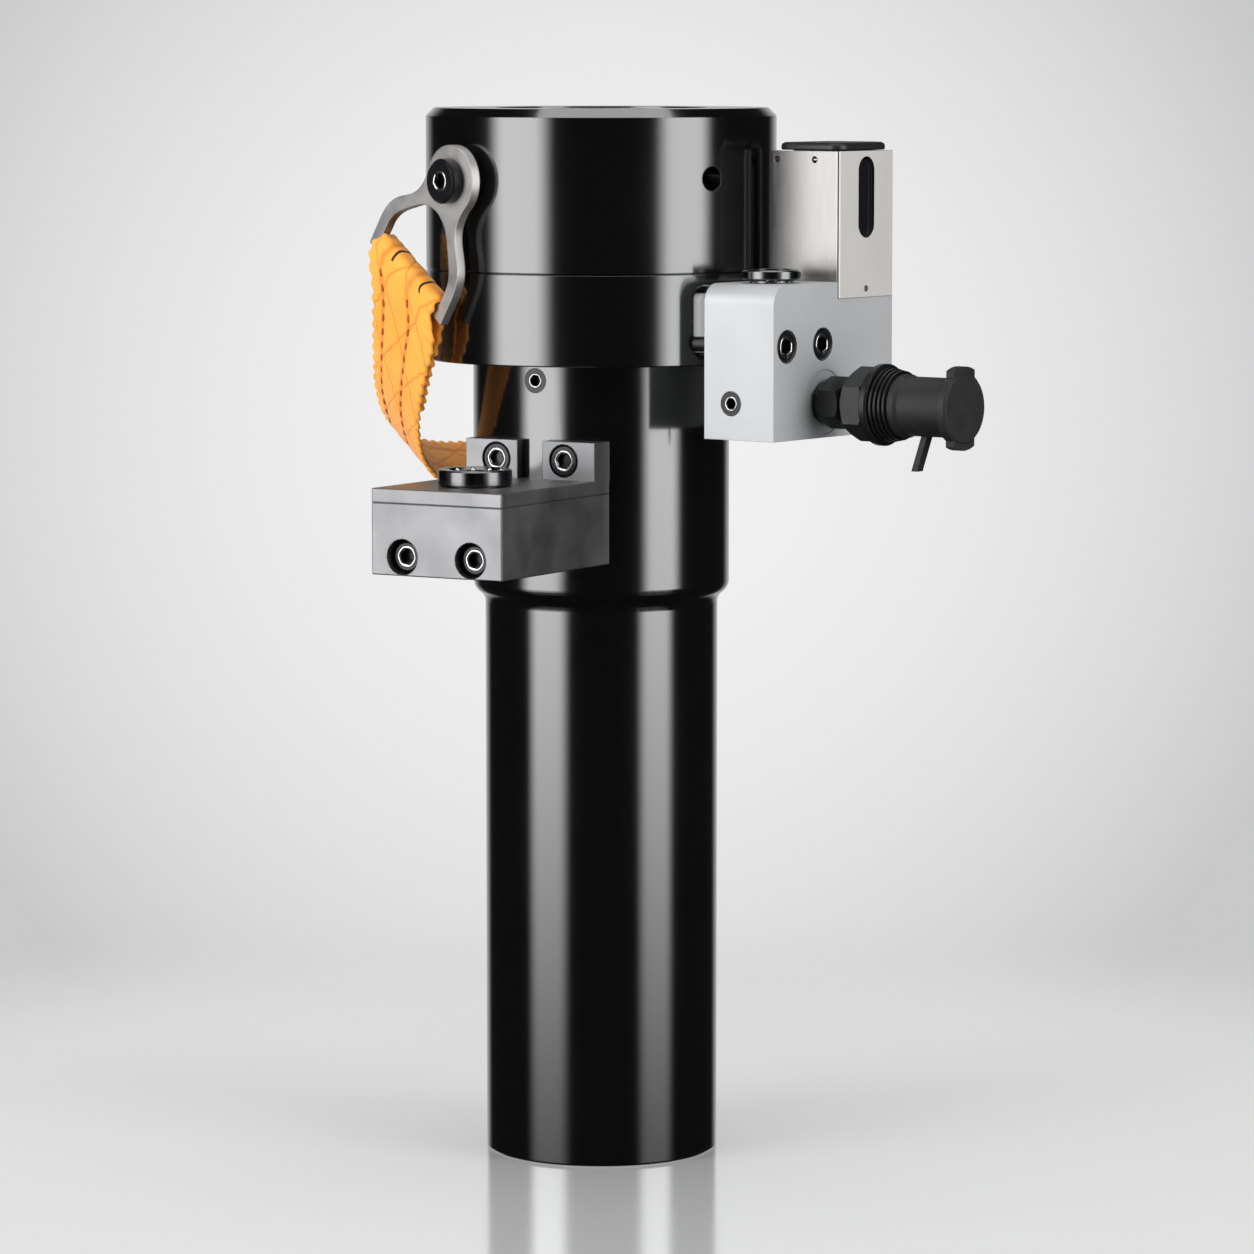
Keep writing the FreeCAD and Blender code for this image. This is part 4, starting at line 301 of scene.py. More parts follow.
# The brushed sheet's faces along X carry a painted highlight: a pale colour, with more roughness.
BRUSHED_SHEET = Finish("brushed_sheet", (0.28, 0.275, 0.27), (0.33, 0.32, 0.31), metallic=1.0,
                       rough_low=0.3, rough_high=0.36, side_rough=0.38, side_highlight_colour=(0.86, 0.84, 0.82),
                       brushed=Axis.Z, brush_scale=2400.0, brush_depth=0.00002, grain_depth=0.000004,
                       edge=0.0004)
HANGER_STEEL = Finish("hanger_steel", (0.50, 0.49, 0.48), (0.72, 0.71, 0.70), metallic=1.0,
                      rough_low=0.42, rough_high=0.58, cloud_scale=70.0, grain_depth=0.000008,
                      edge=0.0007)
BLACK_OXIDE = Finish("black_oxide", (0.010, 0.010, 0.011), (0.022, 0.022, 0.024), metallic=0.5,
                     rough_low=0.2, rough_high=0.3, cloud_scale=200.0, grain_depth=0.000004)
BRIGHT_SOCKET = Finish("bright_socket_rim", (0.45, 0.445, 0.44), (0.6, 0.595, 0.59), metallic=1.0,
                       rough_low=0.16, rough_high=0.28, cloud_scale=300.0, edge=0.0)
COUPLING_BLACK = Finish("coupling_black", (0.005, 0.005, 0.0055), (0.009, 0.009, 0.0095),
                        rough_low=0.26, rough_high=0.36, cloud_scale=120.0, grain_depth=0.000006,
                        specular=0.3, edge=0.0005)
RUBBER = Finish("moulded_rubber", (0.009, 0.009, 0.0093), (0.014, 0.014, 0.0145), rough_low=0.5,
                rough_high=0.62, cloud_scale=90.0, grain_scale=1800.0, grain_depth=0.00002,
                specular=0.4, edge=0.0007)
LID_PLASTIC = Finish("lid_plastic", (0.010, 0.010, 0.011), (0.014, 0.014, 0.015), rough_low=0.36,
                     rough_high=0.46, grain_depth=0.000012, edge=0.0008)
WINDOW = Finish("dark_window", (0.006, 0.006, 0.007), (0.008, 0.008, 0.009), rough_low=0.06,
                rough_high=0.1, cloud_scale=60.0, coat=0.6)
POLISHED_DARK = Finish("polished_dark_steel", (0.11, 0.11, 0.115), (0.15, 0.15, 0.155), metallic=1.0,
                       rough_low=0.16, rough_high=0.24, cloud_scale=150.0, brushed=Axis.Z,
                       brush_scale=500.0, brush_depth=0.000002, grain_depth=0.000002, edge=0.0005)
BRIGHT_STEEL = Finish("bright_steel", (0.72, 0.72, 0.73), (0.8, 0.8, 0.81), metallic=1.0, rough_low=0.1,
                      rough_high=0.16, cloud_scale=200.0)
GEAR_STEEL = Finish("gear_steel", (0.24, 0.24, 0.25), (0.32, 0.32, 0.33), metallic=1.0, rough_low=0.28,
                    rough_high=0.38, cloud_scale=80.0)
MACHINED_STEEL = Finish("machined_steel", (0.40, 0.40, 0.41), (0.46, 0.46, 0.47), metallic=1.0,
                        rough_low=0.2, rough_high=0.3, cloud_scale=60.0, brushed=Axis.Z,
                        brush_scale=700.0)
SPRING_STEEL = Finish("spring_steel", (0.09, 0.09, 0.1), (0.14, 0.14, 0.15), metallic=0.9,
                      rough_low=0.34, rough_high=0.45, cloud_scale=90.0)
BRONZE = Finish("bearing_bronze", (0.55, 0.34, 0.13), (0.62, 0.4, 0.17), metallic=1.0, rough_low=0.26,
                rough_high=0.36, cloud_scale=100.0)
SEAL = Finish("seal_polyurethane", (0.03, 0.09, 0.16), (0.04, 0.11, 0.2), rough_low=0.4, rough_high=0.5,
              cloud_scale=100.0)

WEBBING = Finish("orange_webbing", (0.94, 0.32, 0.025), (0.98, 0.44, 0.06), rough_low=0.5,
                 rough_high=0.62, cloud_scale=60.0, grain_scale=2600.0, grain_depth=0.00002,
                 specular=0.3, edge=0.0)
THREAD = Finish("stitching_thread", (0.36, 0.05, 0.003), (0.44, 0.08, 0.006), rough_low=0.45,
                rough_high=0.55, cloud_scale=400.0, grain_scale=5000.0, grain_depth=0.00001,
                specular=0.4, edge=0.0)

CAD_FINISHES: dict[str, Finish] = {
    "bridge": ENAMEL, "cylinder_body": ENAMEL, "upper_housing": ENAMEL, "top_cover": ENAMEL,
    "manifold_adapter_plate": ENAMEL, "gearbox_housing": GROUND_STEEL, "gearbox_cover": GROUND_STEEL,
    "manifold_block": BLASTED_ALUMINIUM, "gauge_cover": BRUSHED_SHEET, "hanger_front": HANGER_STEEL,
    "hanger_back": HANGER_STEEL, "barrel_plug": BLACK_OXIDE, "port_plug": BLACK_OXIDE,
    "gearbox_front_screws": BLACK_OXIDE, "gearbox_lug_screws": BLACK_OXIDE, "gearbox_cover_screws": BLACK_OXIDE,
    "manifold_screws": BLACK_OXIDE, "top_cover_screws": BLACK_OXIDE, "hanger_screws": BLACK_OXIDE,
    "hanger_spacers": COUPLING_BLACK, "port_adapter": COUPLING_BLACK, "coupling_nipple": COUPLING_BLACK,
    "lock_ring": COUPLING_BLACK, "dust_cap": RUBBER, "counter_capsule": LID_PLASTIC,
    "counter_window": WINDOW, "release_knob": POLISHED_DARK, "drive_collar": POLISHED_DARK,
    "valve_bonnet": POLISHED_DARK, "collar_balls": BRIGHT_STEEL, "detent_balls": BRIGHT_STEEL,
    "valve_stem": BRIGHT_STEEL, "idler_axle": BRIGHT_STEEL, "ring_gear": GEAR_STEEL, "idler_gear": GEAR_STEEL,
    "pinion": GEAR_STEEL, "nut_socket": GEAR_STEEL, "piston": MACHINED_STEEL, "puller": MACHINED_STEEL,
    "gear_retaining_ring": SPRING_STEEL, "barrel_snap_ring": SPRING_STEEL,
    "thrust_washer": BRONZE, "idler_bush": BRONZE, "pinion_bushes": BRONZE, "piston_outer_seal": SEAL,
    "piston_inner_seal": SEAL,
}


def cad_object(node: str) -> bpy.types.Object:
    """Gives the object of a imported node."""
    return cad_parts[node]


@dataclass
class Studio:
    """Camera, softboxes, world and floor of a product photograph."""

    camera_place: Place = (1.3998, -1.8111, 0.4752)
    camera_tilt: float = 6.2
    camera_turn: float = 0.276
    focal_mm: float = 153.0
    sensor_mm: float = 36.0
    floor_radius: float = 1.6
    fade_start: float = 0.34
    fade_end: float = 0.62
    backdrop_drop: float = 4.0
    backdrop_levels: tuple[float, float] = (0.58, 0.885)
    reflected_levels: tuple[float, float] = (0.012, 0.5)
    fill_level: float = 0.55
    floor_colours: tuple[Rgb, Rgb] = ((0.31, 0.31, 0.312), (0.33, 0.33, 0.332))
    floor_shine: Rgb = (0.74, 0.74, 0.745)

    def camera(self) -> None:
        """Sets the camera where the photograph was taken from."""
        data = bpy.data.cameras.new("photo_camera")
        data.lens = self.focal_mm
        data.sensor_width = self.sensor_mm
        data.sensor_fit = "HORIZONTAL"
        data.clip_start = 0.05
        data.clip_end = 50.0
        item = bpy.data.objects.new("photo_camera", data)
        bpy.context.scene.collection.objects.link(item)
        place = Vector(self.camera_place)
        flat = Vector((-place.x, -place.y, 0.0)).normalized()
        flat = Matrix.Rotation(math.radians(-self.camera_turn), 3, "Z") @ flat
        tilt = math.radians(self.camera_tilt)
        forward = flat * math.cos(tilt) - Vector((0.0, 0.0, math.sin(tilt)))
        item.location = place
        item.rotation_euler = forward.to_track_quat("-Z", "Y").to_euler()
        bpy.context.scene.camera = item

    def strip(self, name: str, azimuth: float, distance: float, size: tuple[float, float], height: float,
              power: float) -> None:
        """Adds a softbox that faces the tool.

        Args:
            name: The lamp's name.
            azimuth: Degrees to the right of the camera, seen from above the tool.
            distance: Metres from the tool's axis.
            size: Width and height in metres.
            height: Height of its centre in metres.
            power: Watts.
        """
        data = bpy.data.lights.new(name, "AREA")
        data.shape = "RECTANGLE"
        data.size, data.size_y = size
        data.energy = power
        item = bpy.data.objects.new(name, data)
        bpy.context.scene.collection.objects.link(item)
        base = math.atan2(self.camera_place[1], self.camera_place[0]) + math.radians(azimuth)
        item.location = (math.cos(base) * distance, math.sin(base) * distance, height)
        aim = Vector((0.0, 0.0, height)) - item.location
        item.rotation_euler = aim.to_track_quat("-Z", "Y").to_euler()
        self.soften(data)

    @staticmethod
    def soften(data: bpy.types.AreaLight) -> None:
        """Makes a softbox fade towards its sides.

        Args:
            data: The lamp.
        """
        data.use_nodes = True
        nodes = Nodes(data.node_tree)
        split = nodes.add("ShaderNodeSeparateXYZ")
        nodes.link(nodes.add("ShaderNodeNewGeometry").outputs["Parametric"], split.inputs[0])
        across = nodes.math("ABSOLUTE", nodes.math("SUBTRACT", split.outputs["X"], 0.5))
        level = nodes.ramp(across, 0.2, 0.5, 1.0, 0.0, True)
        level = nodes.math("MULTIPLY", level, nodes.ramp(split.outputs["Y"], 0.22, 0.50, 0.05, 1.0, True))
        emission = nodes.add("ShaderNodeEmission")
        nodes.link(level, emission.inputs["Strength"])
        output = nodes.add("ShaderNodeOutputLight")
        nodes.link(emission.outputs[0], output.inputs[0])

    def lamps(self) -> None:
        """Places the softboxes."""
        self.strip("left_softbox", -54.0, 1.3, (1.2, 2.3), 0.25, 40.0)
        self.strip("right_softbox", 55.0, 1.3, (1.05, 2.3), 0.25, 32.0)
        data = bpy.data.lights.new("top_softbox", "AREA")
        data.shape = "SQUARE"
        data.size = 1.1
        data.energy = 9.0
        item = bpy.data.objects.new("top_softbox", data)
        item.location = (0.1, -0.1, 1.7)
        bpy.context.scene.collection.objects.link(item)

    def world(self) -> None:
        """Pale backdrop for the camera and behind the tool, dim flags elsewhere."""
        world = bpy.data.worlds.new("studio_world")
        bpy.context.scene.world = world
        world.use_nodes = True
        nodes = Nodes(world.node_tree)
        coords = nodes.add("ShaderNodeTexCoord").outputs["Generated"]
        place = Vector(self.camera_place)
        ahead = Vector((-place.x, -place.y, 0.0)).normalized()
        tilt = math.radians(self.backdrop_drop)
        centre = ahead * math.cos(tilt) - Vector((0.0, 0.0, math.sin(tilt)))
        dot = nodes.add("ShaderNodeVectorMath", operation="DOT_PRODUCT")
        nodes.link(coords, dot.inputs[0])
        dot.inputs[1].default_value = centre
        near = nodes.ramp(dot.outputs["Value"], 0.99, 1.0, *self.backdrop_levels)
        behind = nodes.ramp(dot.outputs["Value"], 0.8, 0.98, *self.reflected_levels, True)
        path = nodes.add("ShaderNodeLightPath")
        diffuse = nodes.math("MULTIPLY", path.outputs["Is Diffuse Ray"], self.fill_level)
        glossy = nodes.math("MULTIPLY", path.outputs["Is Glossy Ray"], behind)
        seen = nodes.math("MULTIPLY", nodes.math("MAXIMUM", path.outputs["Is Camera Ray"],
                                                 path.outputs["Is Transmission Ray"]), near)
        total = nodes.math("ADD", nodes.math("ADD", diffuse, glossy), seen)
        background = nodes.add("ShaderNodeBackground")
        background.inputs["Color"].default_value = (1.0, 0.998, 1.0, 1.0)
        nodes.link(total, background.inputs["Strength"])
        output = nodes.add("ShaderNodeOutputWorld")
        nodes.link(background.outputs[0], output.inputs["Surface"])

    def floor(self) -> None:
        """Pale glossy floor that fades into the backdrop round the tool."""
        mesh = bpy.data.meshes.new("studio_floor")
        count = 96
        corners = [(math.cos(2 * math.pi * i / count) * self.floor_radius,
                    math.sin(2 * math.pi * i / count) * self.floor_radius, -0.0004) for i in range(count)]
        mesh.from_pydata(corners, [], [tuple(range(count))])
        item = bpy.data.objects.new("studio_floor", mesh)
        bpy.context.scene.collection.objects.link(item)
        material = bpy.data.materials.new("studio_floor_paper")
        material.use_nodes = True
        nodes = Nodes(material.node_tree)
        coords = nodes.add("ShaderNodeTexCoord").outputs["Object"]
        length = nodes.add("ShaderNodeVectorMath", operation="LENGTH")
        nodes.link(coords, length.inputs[0])
        fade = nodes.ramp(length.outputs["Value"], self.fade_start, self.fade_end, 1.0, 0.0, True)
        diffuse = nodes.add("ShaderNodeBsdfDiffuse")
        nodes.link(nodes.mix(nodes.noise(coords, 3.0), *self.floor_colours),
                   diffuse.inputs["Color"])
        glossy = nodes.add("ShaderNodeBsdfGlossy")
        glossy.inputs["Color"].default_value = (*self.floor_shine, 1.0)
        rough = nodes.ramp(nodes.noise(coords, 5.0), 0.3, 0.7, 0.10, 0.14)
        nodes.link(rough, glossy.inputs["Roughness"])
        blend = nodes.add("ShaderNodeAddShader")
        nodes.link(diffuse.outputs[0], blend.inputs[0])
        nodes.link(glossy.outputs[0], blend.inputs[1])
        clear = nodes.add("ShaderNodeBsdfTransparent")
        path = nodes.add("ShaderNodeLightPath")
        shown = nodes.math("MULTIPLY", fade, nodes.math("SUBTRACT", 1.0, path.outputs["Is Glossy Ray"]))
        mix = nodes.add("ShaderNodeMixShader")
        nodes.link(shown, mix.inputs[0])
        nodes.link(clear.outputs[0], mix.inputs[1])
        nodes.link(blend.outputs[0], mix.inputs[2])
        output = nodes.add("ShaderNodeOutputMaterial")
        nodes.link(mix.outputs[0], output.inputs["Surface"])
        mesh.materials.append(material)

    def build(self) -> None:
        """Sets up everything that isn't part of the tool."""
        self.camera()
        self.lamps()
        self.world()
        self.floor()
        view = bpy.context.scene.view_settings
        view.view_transform = "Standard"


@dataclass
class Castings:
    """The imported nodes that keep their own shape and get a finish."""

    finishes: dict[str, Finish] = field(default_factory=lambda: CAD_FINISHES)

    def dress(self) -> None:
        """Puts each node's finish on its object."""
        for node, finish in self.finishes.items():
            item = cad_object(node)
            material = finish.build()
            if not item.material_slots:
                item.data.materials.append(material)
            for slot in item.material_slots:
                slot.material = material
        LOG.info("dressed %d nodes", len(self.finishes))


class Shapes:
    """Small meshes that several pieces share."""

    @staticmethod
    def outwards(mesh: bpy.types.Mesh) -> None:
        """Turns every face outwards."""
        work = bmesh.new()
        work.from_mesh(mesh)
        bmesh.ops.recalc_face_normals(work, faces=work.faces)
        work.to_mesh(mesh)
        work.free()

    @staticmethod
    def pill(name: str) -> bpy.types.Mesh:
        """Makes a rounded pill along X, two units long.

        Args:
            name: The mesh's name.

        Returns:
            The mesh.
        """
        mesh = bpy.data.meshes.new(name)
        work = bmesh.new()
        bmesh.ops.create_icosphere(work, subdivisions=2, radius=1.0)
        for vertex in work.verts:
            vertex.co.x = math.copysign(abs(vertex.co.x) ** 0.6, vertex.co.x)
        work.to_mesh(mesh)
        work.free()
        return mesh


class Scatter:
    """Geometry Nodes tree that sets copies of a small shape along paths or on points."""

    def __init__(self, name: str, material: bpy.types.Material, pitch: float | None = None) -> None:
        """Builds the tree.

        Args:
            name: The tree's name.
            material: Finish of every copy.
            pitch: Metres between copies along the paths; without it each point gets one copy.
        """
        self.tree = bpy.data.node_groups.new(name, "GeometryNodeTree")
        face = self.tree.interface
        face.new_socket("Geometry", in_out="INPUT", socket_type="NodeSocketGeometry")
        self.shape = face.new_socket("Shape", in_out="INPUT", socket_type="NodeSocketObject").identifier
        self.pitch = face.new_socket("Pitch", in_out="INPUT", socket_type="NodeSocketFloat").identifier
        self.spacing = pitch
        face.new_socket("Geometry", in_out="OUTPUT", socket_type="NodeSocketGeometry")
        nodes = Nodes(self.tree)
        source = nodes.add("NodeGroupInput")
        points = source.outputs["Geometry"]
        turn = None
        if pitch is not None:
            line = nodes.add("GeometryNodeMeshToCurve")
            nodes.link(points, line.inputs[0])
            even = nodes.add("GeometryNodeResampleCurve", mode="LENGTH")
            nodes.link(line.outputs[0], even.inputs["Curve"])
            nodes.link(source.outputs["Pitch"], even.inputs["Length"])
            points = even.outputs[0]
            along = nodes.add("FunctionNodeAlignRotationToVector", axis="X")
            nodes.link(nodes.add("GeometryNodeInputTangent").outputs[0], along.inputs["Vector"])
            turn = along.outputs[0]
        facing = nodes.add("FunctionNodeAlignRotationToVector", axis="Z",
                           pivot_axis="X" if turn else "AUTO")
        if turn:
            nodes.link(turn, facing.inputs["Rotation"])
        outward = nodes.add("GeometryNodeInputNamedAttribute", data_type="FLOAT_VECTOR")
        outward.inputs["Name"].default_value = "out"
        nodes.link(outward.outputs["Attribute"], facing.inputs["Vector"])
        size = nodes.add("GeometryNodeInputNamedAttribute", data_type="FLOAT_VECTOR")
        size.inputs["Name"].default_value = "size"
        copy = nodes.add("GeometryNodeObjectInfo")
        nodes.link(source.outputs["Shape"], copy.inputs["Object"])
        spread = nodes.add("GeometryNodeInstanceOnPoints")
        nodes.link(points, spread.inputs["Points"])
        nodes.link(copy.outputs["Geometry"], spread.inputs["Instance"])
        nodes.link(facing.outputs[0], spread.inputs["Rotation"])
        nodes.link(size.outputs["Attribute"], spread.inputs["Scale"])
        real = nodes.add("GeometryNodeRealizeInstances")
        nodes.link(spread.outputs[0], real.inputs[0])
        finish = nodes.add("GeometryNodeSetMaterial")
        finish.inputs["Material"].default_value = material
        nodes.link(real.outputs[0], finish.inputs[0])
        output = nodes.add("NodeGroupOutput")
        nodes.link(finish.outputs[0], output.inputs[0])

    def make(self, name: str, shape: bpy.types.Mesh, paths: list[list[tuple[Vector, Vector]]],
             size: Place = (1.0, 1.0, 1.0)) -> bpy.types.Object:
        """Sets the copies and turns the result into a plain mesh.

        Args:
            name: The new object's name.
            shape: The small shape, at the origin, facing +Z and lying along +X.
            paths: Rows of places with the direction that each copy faces.
            size: Factor on the shape's own axes.

        Returns:
            The finished object.
        """
        mould = bpy.data.objects.new(name + "_shape", shape)
        bpy.context.scene.collection.objects.link(mould)
        mesh = bpy.data.meshes.new(name + "_paths")
        places = [place for path in paths for place in path]
        edges, start = [], 0
        for path in paths:
            edges += [(start + i, start + i + 1) for i in range(len(path) - 1)]
            start += len(path)
        mesh.from_pydata([place for place, _ in places], edges if self.spacing else [], [])
        out = mesh.attributes.new("out", "FLOAT_VECTOR", "POINT")
        scale = mesh.attributes.new("size", "FLOAT_VECTOR", "POINT")
        for index, (_, direction) in enumerate(places):
            out.data[index].vector = direction
            scale.data[index].vector = size
        item = bpy.data.objects.new(name, mesh)
        bpy.context.scene.collection.objects.link(item)
        modifier = item.modifiers.new("scatter", "NODES")
        modifier.node_group = self.tree
        modifier[self.shape] = mould
        modifier[self.pitch] = self.spacing or 1.0
        bpy.context.view_layer.update()
        made = bpy.data.meshes.new_from_object(item.evaluated_get(bpy.context.evaluated_depsgraph_get()))
        item.modifiers.remove(modifier)
        item.data = made
        made.name = name
        for extra in ("out", "size"):
            if extra in made.attributes:
                made.attributes.remove(made.attributes[extra])
        bpy.data.objects.remove(mould)
        for polygon in made.polygons:
            polygon.use_smooth = True
        return item


@dataclass
class Strap:
    """Quilted webbing strap folded over the bars of both hangers."""

    pivot_height: float = 0.4199
    turn: float = -101.9
    lean: float = 35.0
    thick: float = 2.3
    step: float = 0.8
    columns: int = 38
    quilt_pitch: float = 25.0
    quilt_slope: float = 0.8
    groove_depth: float = 0.5
    groove_width: float = 0.9
    seam_depth: float = 0.55
    seam_width: float = 1.3
    scallop: float = 5.6
    scallop_reach: float = 0.55
    rim_puff: float = 0.9
    rim_share: float = 0.08
    stitched: tuple[float, float] = (57.0, 128.0)
    # Places across the strap of the painted crease shadows in the roll over the bars.
    crease_shadow_places: tuple[float, float] = (-10.5, 12.5)
    seams: tuple[float, float] = (-15.0, 6.5)
    width: float = 50.0
    run: tuple[tuple[float, float, float, float], ...] = (
        (69.6, 101.0, -8.0, 27.0), (74.6, 88.0, -9.5, 29.0), (77.9, 74.0, -14.0, 29.5),
        (77.8, 62.0, -21.5, 27.0), (77.5, 54.5, -23.2, 23.3), (77.5, 48.5, -23.3, 23.3),
        (78.3, 45.6, -23.3, 23.3), (81.2, 44.9, -23.3, 23.3), (84.1, 45.6, -23.3, 23.3),
        (85.2, 48.5, -24.5, 23.6), (85.3, 54.0, -24.5, 24.5), (84.9, 59.0, -22.0, 29.5),
        (83.2, 67.0, -16.5, 31.5), (80.6, 80.0, -11.0, 31.5), (75.4, 96.0, -8.0, 30.5),
        (67.5, 113.0, -7.0, 29.0), (55.0, 130.0, -6.5, 27.5), (38.0, 143.0, -7.5, 26.5),
        (19.0, 149.2, -8.5, 26.0), (0.0, 151.0, -9.0, 26.0))

    def frame(self) -> Matrix:
        """Gives the strap's leaning frame: X along the pivots, Y across, Z up."""
        return Matrix.Translation((0.0, 0.0, self.pivot_height)) @ Matrix.Rotation(
            math.radians(self.turn), 4, "Z") @ Matrix.Rotation(math.radians(-self.lean), 4, "X")

    def stations(self) -> list[tuple[float, ...]]:
        """Walks the strap's line from one flap's end to the other.

        Returns:
            Rows of run length, place along the pivots, drop, and the two edges, in millimetres.
        """
        half = list(self.run)
        line = half + [(-w, s, left, right) for w, s, left, right in reversed(half[:-1])]
        rows: list[tuple[float, ...]] = []
        for index in range(len(line) - 1):
            corners = [line[min(max(index + k, 0), len(line) - 1)] for k in (-1, 0, 1, 2)]
            pieces = max(1, round(math.dist(corners[1][:2], corners[2][:2]) / self.step))
            for part in range(pieces):
                u = part / pieces
                weights = (-0.5 * u + u * u - 0.5 * u ** 3, 1 - 2.5 * u * u + 1.5 * u ** 3,
                           0.5 * u + 2 * u * u - 1.5 * u ** 3, -0.5 * u * u + 0.5 * u ** 3)
                rows.append(tuple(sum(k * c[n] for k, c in zip(weights, corners)) for n in range(4)))
        rows.append(line[-1])
        lengths = [0.0]
        for before, after in zip(rows, rows[1:]):
            lengths.append(lengths[-1] + math.dist(before[:2], after[:2]))
        return [(length, *row) for length, row in zip(lengths, rows)]

    def puff(self, across: float, along: float, share: float) -> float:
        """Gives how far the quilting stands proud.

        Args:
            across: Place across the strap in millimetres.
            along: Place along the strap in millimetres.
            share: 0 at one edge, 1 at the other.

        Returns:
            Height in millimetres.
        """
        height = 0.0
        for slope in (1.0, -1.0):
            phase = (across * slope + along * self.quilt_slope) / self.quilt_pitch
            off = abs(phase - round(phase)) * self.quilt_pitch
            height -= self.groove_depth * math.exp(-(off / self.groove_width) ** 2)
        for seam in self.seams:
            height -= self.seam_depth * math.exp(-((across - seam) / self.seam_width) ** 2)
        rim = min(share, 1.0 - share)
        wave = 0.5 + 0.5 * math.cos(2 * math.pi * along / self.scallop)
        height += self.rim_puff * wave * math.exp(-(rim / self.rim_share) ** 2)
        return height + 0.2 * math.sin(across * 0.35 + along * 0.11)

    def webbing(self) -> bpy.types.Object:
        """Builds the strap's own mesh.

        Returns:
            The strap.
        """
        rows = self.stations()
        count = self.columns
        frame_matrix = self.frame()
        points: list[Vector] = []
        flat: list[tuple[float, float]] = []
        for index, (length, w, s, left, right) in enumerate(rows):
            before = rows[max(index - 1, 0)]
            after = rows[min(index + 1, len(rows) - 1)]
            tangent = Vector((after[1] - before[1], 0.0, -(after[2] - before[2]))).normalized()
            outward = Vector((-tangent.z, 0.0, tangent.x))
            wave = self.scallop_reach * math.cos(2 * math.pi * length / self.scallop)
            ring = []
            for side in (1, -1):
                for column in range(count + 1):
                    share = column / count if side > 0 else 1.0 - column / count
                    across = left - wave + (right - left + 2 * wave) * share
                    round_off = max(0.0, 1.0 - (abs(share - 0.5) * 2) ** 14)
                    height = self.thick / 2 * (0.35 + 0.65 * round_off)
                    quilt = (share - 0.5) * self.width
                    height += self.puff(quilt, length, share) * (0.6 if side > 0 else 0.25)
                    place = Vector((w, across, -s)) + outward * (side * height)
                    ring.append((frame_matrix @ (place * MM), (quilt, length)))
            points += [place for place, _ in ring]
            flat += [uv for _, uv in ring]
        around = 2 * (count + 1)
        faces = [(a * around + b, a * around + (b + 1) % around, (a + 1) * around + (b + 1) % around,
                  (a + 1) * around + b) for a in range(len(rows) - 1) for b in range(around)]
        faces.append(tuple(reversed(range(around))))
        faces.append(tuple((len(rows) - 1) * around + b for b in range(around)))
        mesh = bpy.data.meshes.new("strap_webbing")
        mesh.from_pydata(points, [], faces)
        uv = mesh.uv_layers.new(name="strap")
        for loop in mesh.loops:
            uv.data[loop.index].uv = (flat[loop.vertex_index][0] * MM, flat[loop.vertex_index][1] * MM)
        for polygon in mesh.polygons:
            polygon.use_smooth = True
        item = bpy.data.objects.new("strap_webbing", mesh)
        bpy.context.scene.collection.objects.link(item)
        Shapes.outwards(mesh)
        mesh.materials.append(self.cloth())
        return item

    def cloth(self) -> bpy.types.Material:
        """Makes the webbing's woven finish, with painted shade along the seams and quilt grooves and painted
        crease shadows over the bars.

        Returns:
            The material.
        """
        material = WEBBING.build()
        nodes = Nodes.of(material.node_tree)
        shader = nodes.first("ShaderNodeBsdfPrincipled")
        bump = nodes.first("ShaderNodeBump")
        shader.inputs["Sheen Weight"].default_value = 0.35
        shader.inputs["Sheen Roughness"].default_value = 0.4
        split = nodes.add("ShaderNodeSeparateXYZ")
        nodes.link(nodes.add("ShaderNodeUVMap", uv_map="strap").outputs[0], split.inputs[0])
        weave = None
        for axis, pitch in (("X", 0.0013), ("Y", 0.0010)):
            wave = nodes.math("SINE", nodes.math("MULTIPLY", split.outputs[axis], 2 * math.pi / pitch))
            weave = wave if weave is None else nodes.math("MULTIPLY", weave, wave)
        old = bump.inputs["Height"].links[0].from_socket
        nodes.link(nodes.math("ADD", old, nodes.math("MULTIPLY", weave, 2.0)), bump.inputs["Height"])
        painted_shade = None
        for seam in self.seams:
            off = nodes.math("ABSOLUTE", nodes.math("SUBTRACT", split.outputs["X"], seam * MM))
            near = nodes.ramp(off, 0.0004, 0.0026, 0.46, 0.0, True)
            painted_shade = near if painted_shade is None else nodes.math("MAXIMUM", painted_shade, near)
        for slope in (1.0, -1.0):
            phase = nodes.math("ADD", nodes.math("MULTIPLY", split.outputs["X"], slope),
                               nodes.math("MULTIPLY", split.outputs["Y"], self.quilt_slope))
            phase = nodes.math("DIVIDE", phase, self.quilt_pitch * MM)
            off = nodes.math("ABSOLUTE", nodes.math("SUBTRACT", phase, nodes.math("ROUND", phase)))
            painted_shade = nodes.math("MAXIMUM", painted_shade, nodes.ramp(off, 0.008, 0.05, 0.45, 0.0, True))
        # Painted shade: the seams and quilt grooves are darkened to a deep orange, where shade falls in them.
        shade = nodes.add("ShaderNodeMix", data_type="RGBA")
        nodes.link(painted_shade, shade.inputs[0])
        nodes.link(shader.inputs["Base Color"].links[0].from_socket, shade.inputs[6])
        shade.inputs[7].default_value = (0.50, 0.10, 0.005, 1.0)
        # Painted crease shadows: near-black lines where the roll folds deeply over each bar.
        crease_shadow_mix = nodes.add("ShaderNodeMix", data_type="RGBA")
        nodes.link(self.crease_shadows(nodes, split), crease_shadow_mix.inputs[0])
        nodes.link(shade.outputs[2], crease_shadow_mix.inputs[6])
        crease_shadow_mix.inputs[7].default_value = (0.02, 0.008, 0.002, 1.0)
        nodes.link(crease_shadow_mix.outputs[2], shader.inputs["Base Color"])
        return material

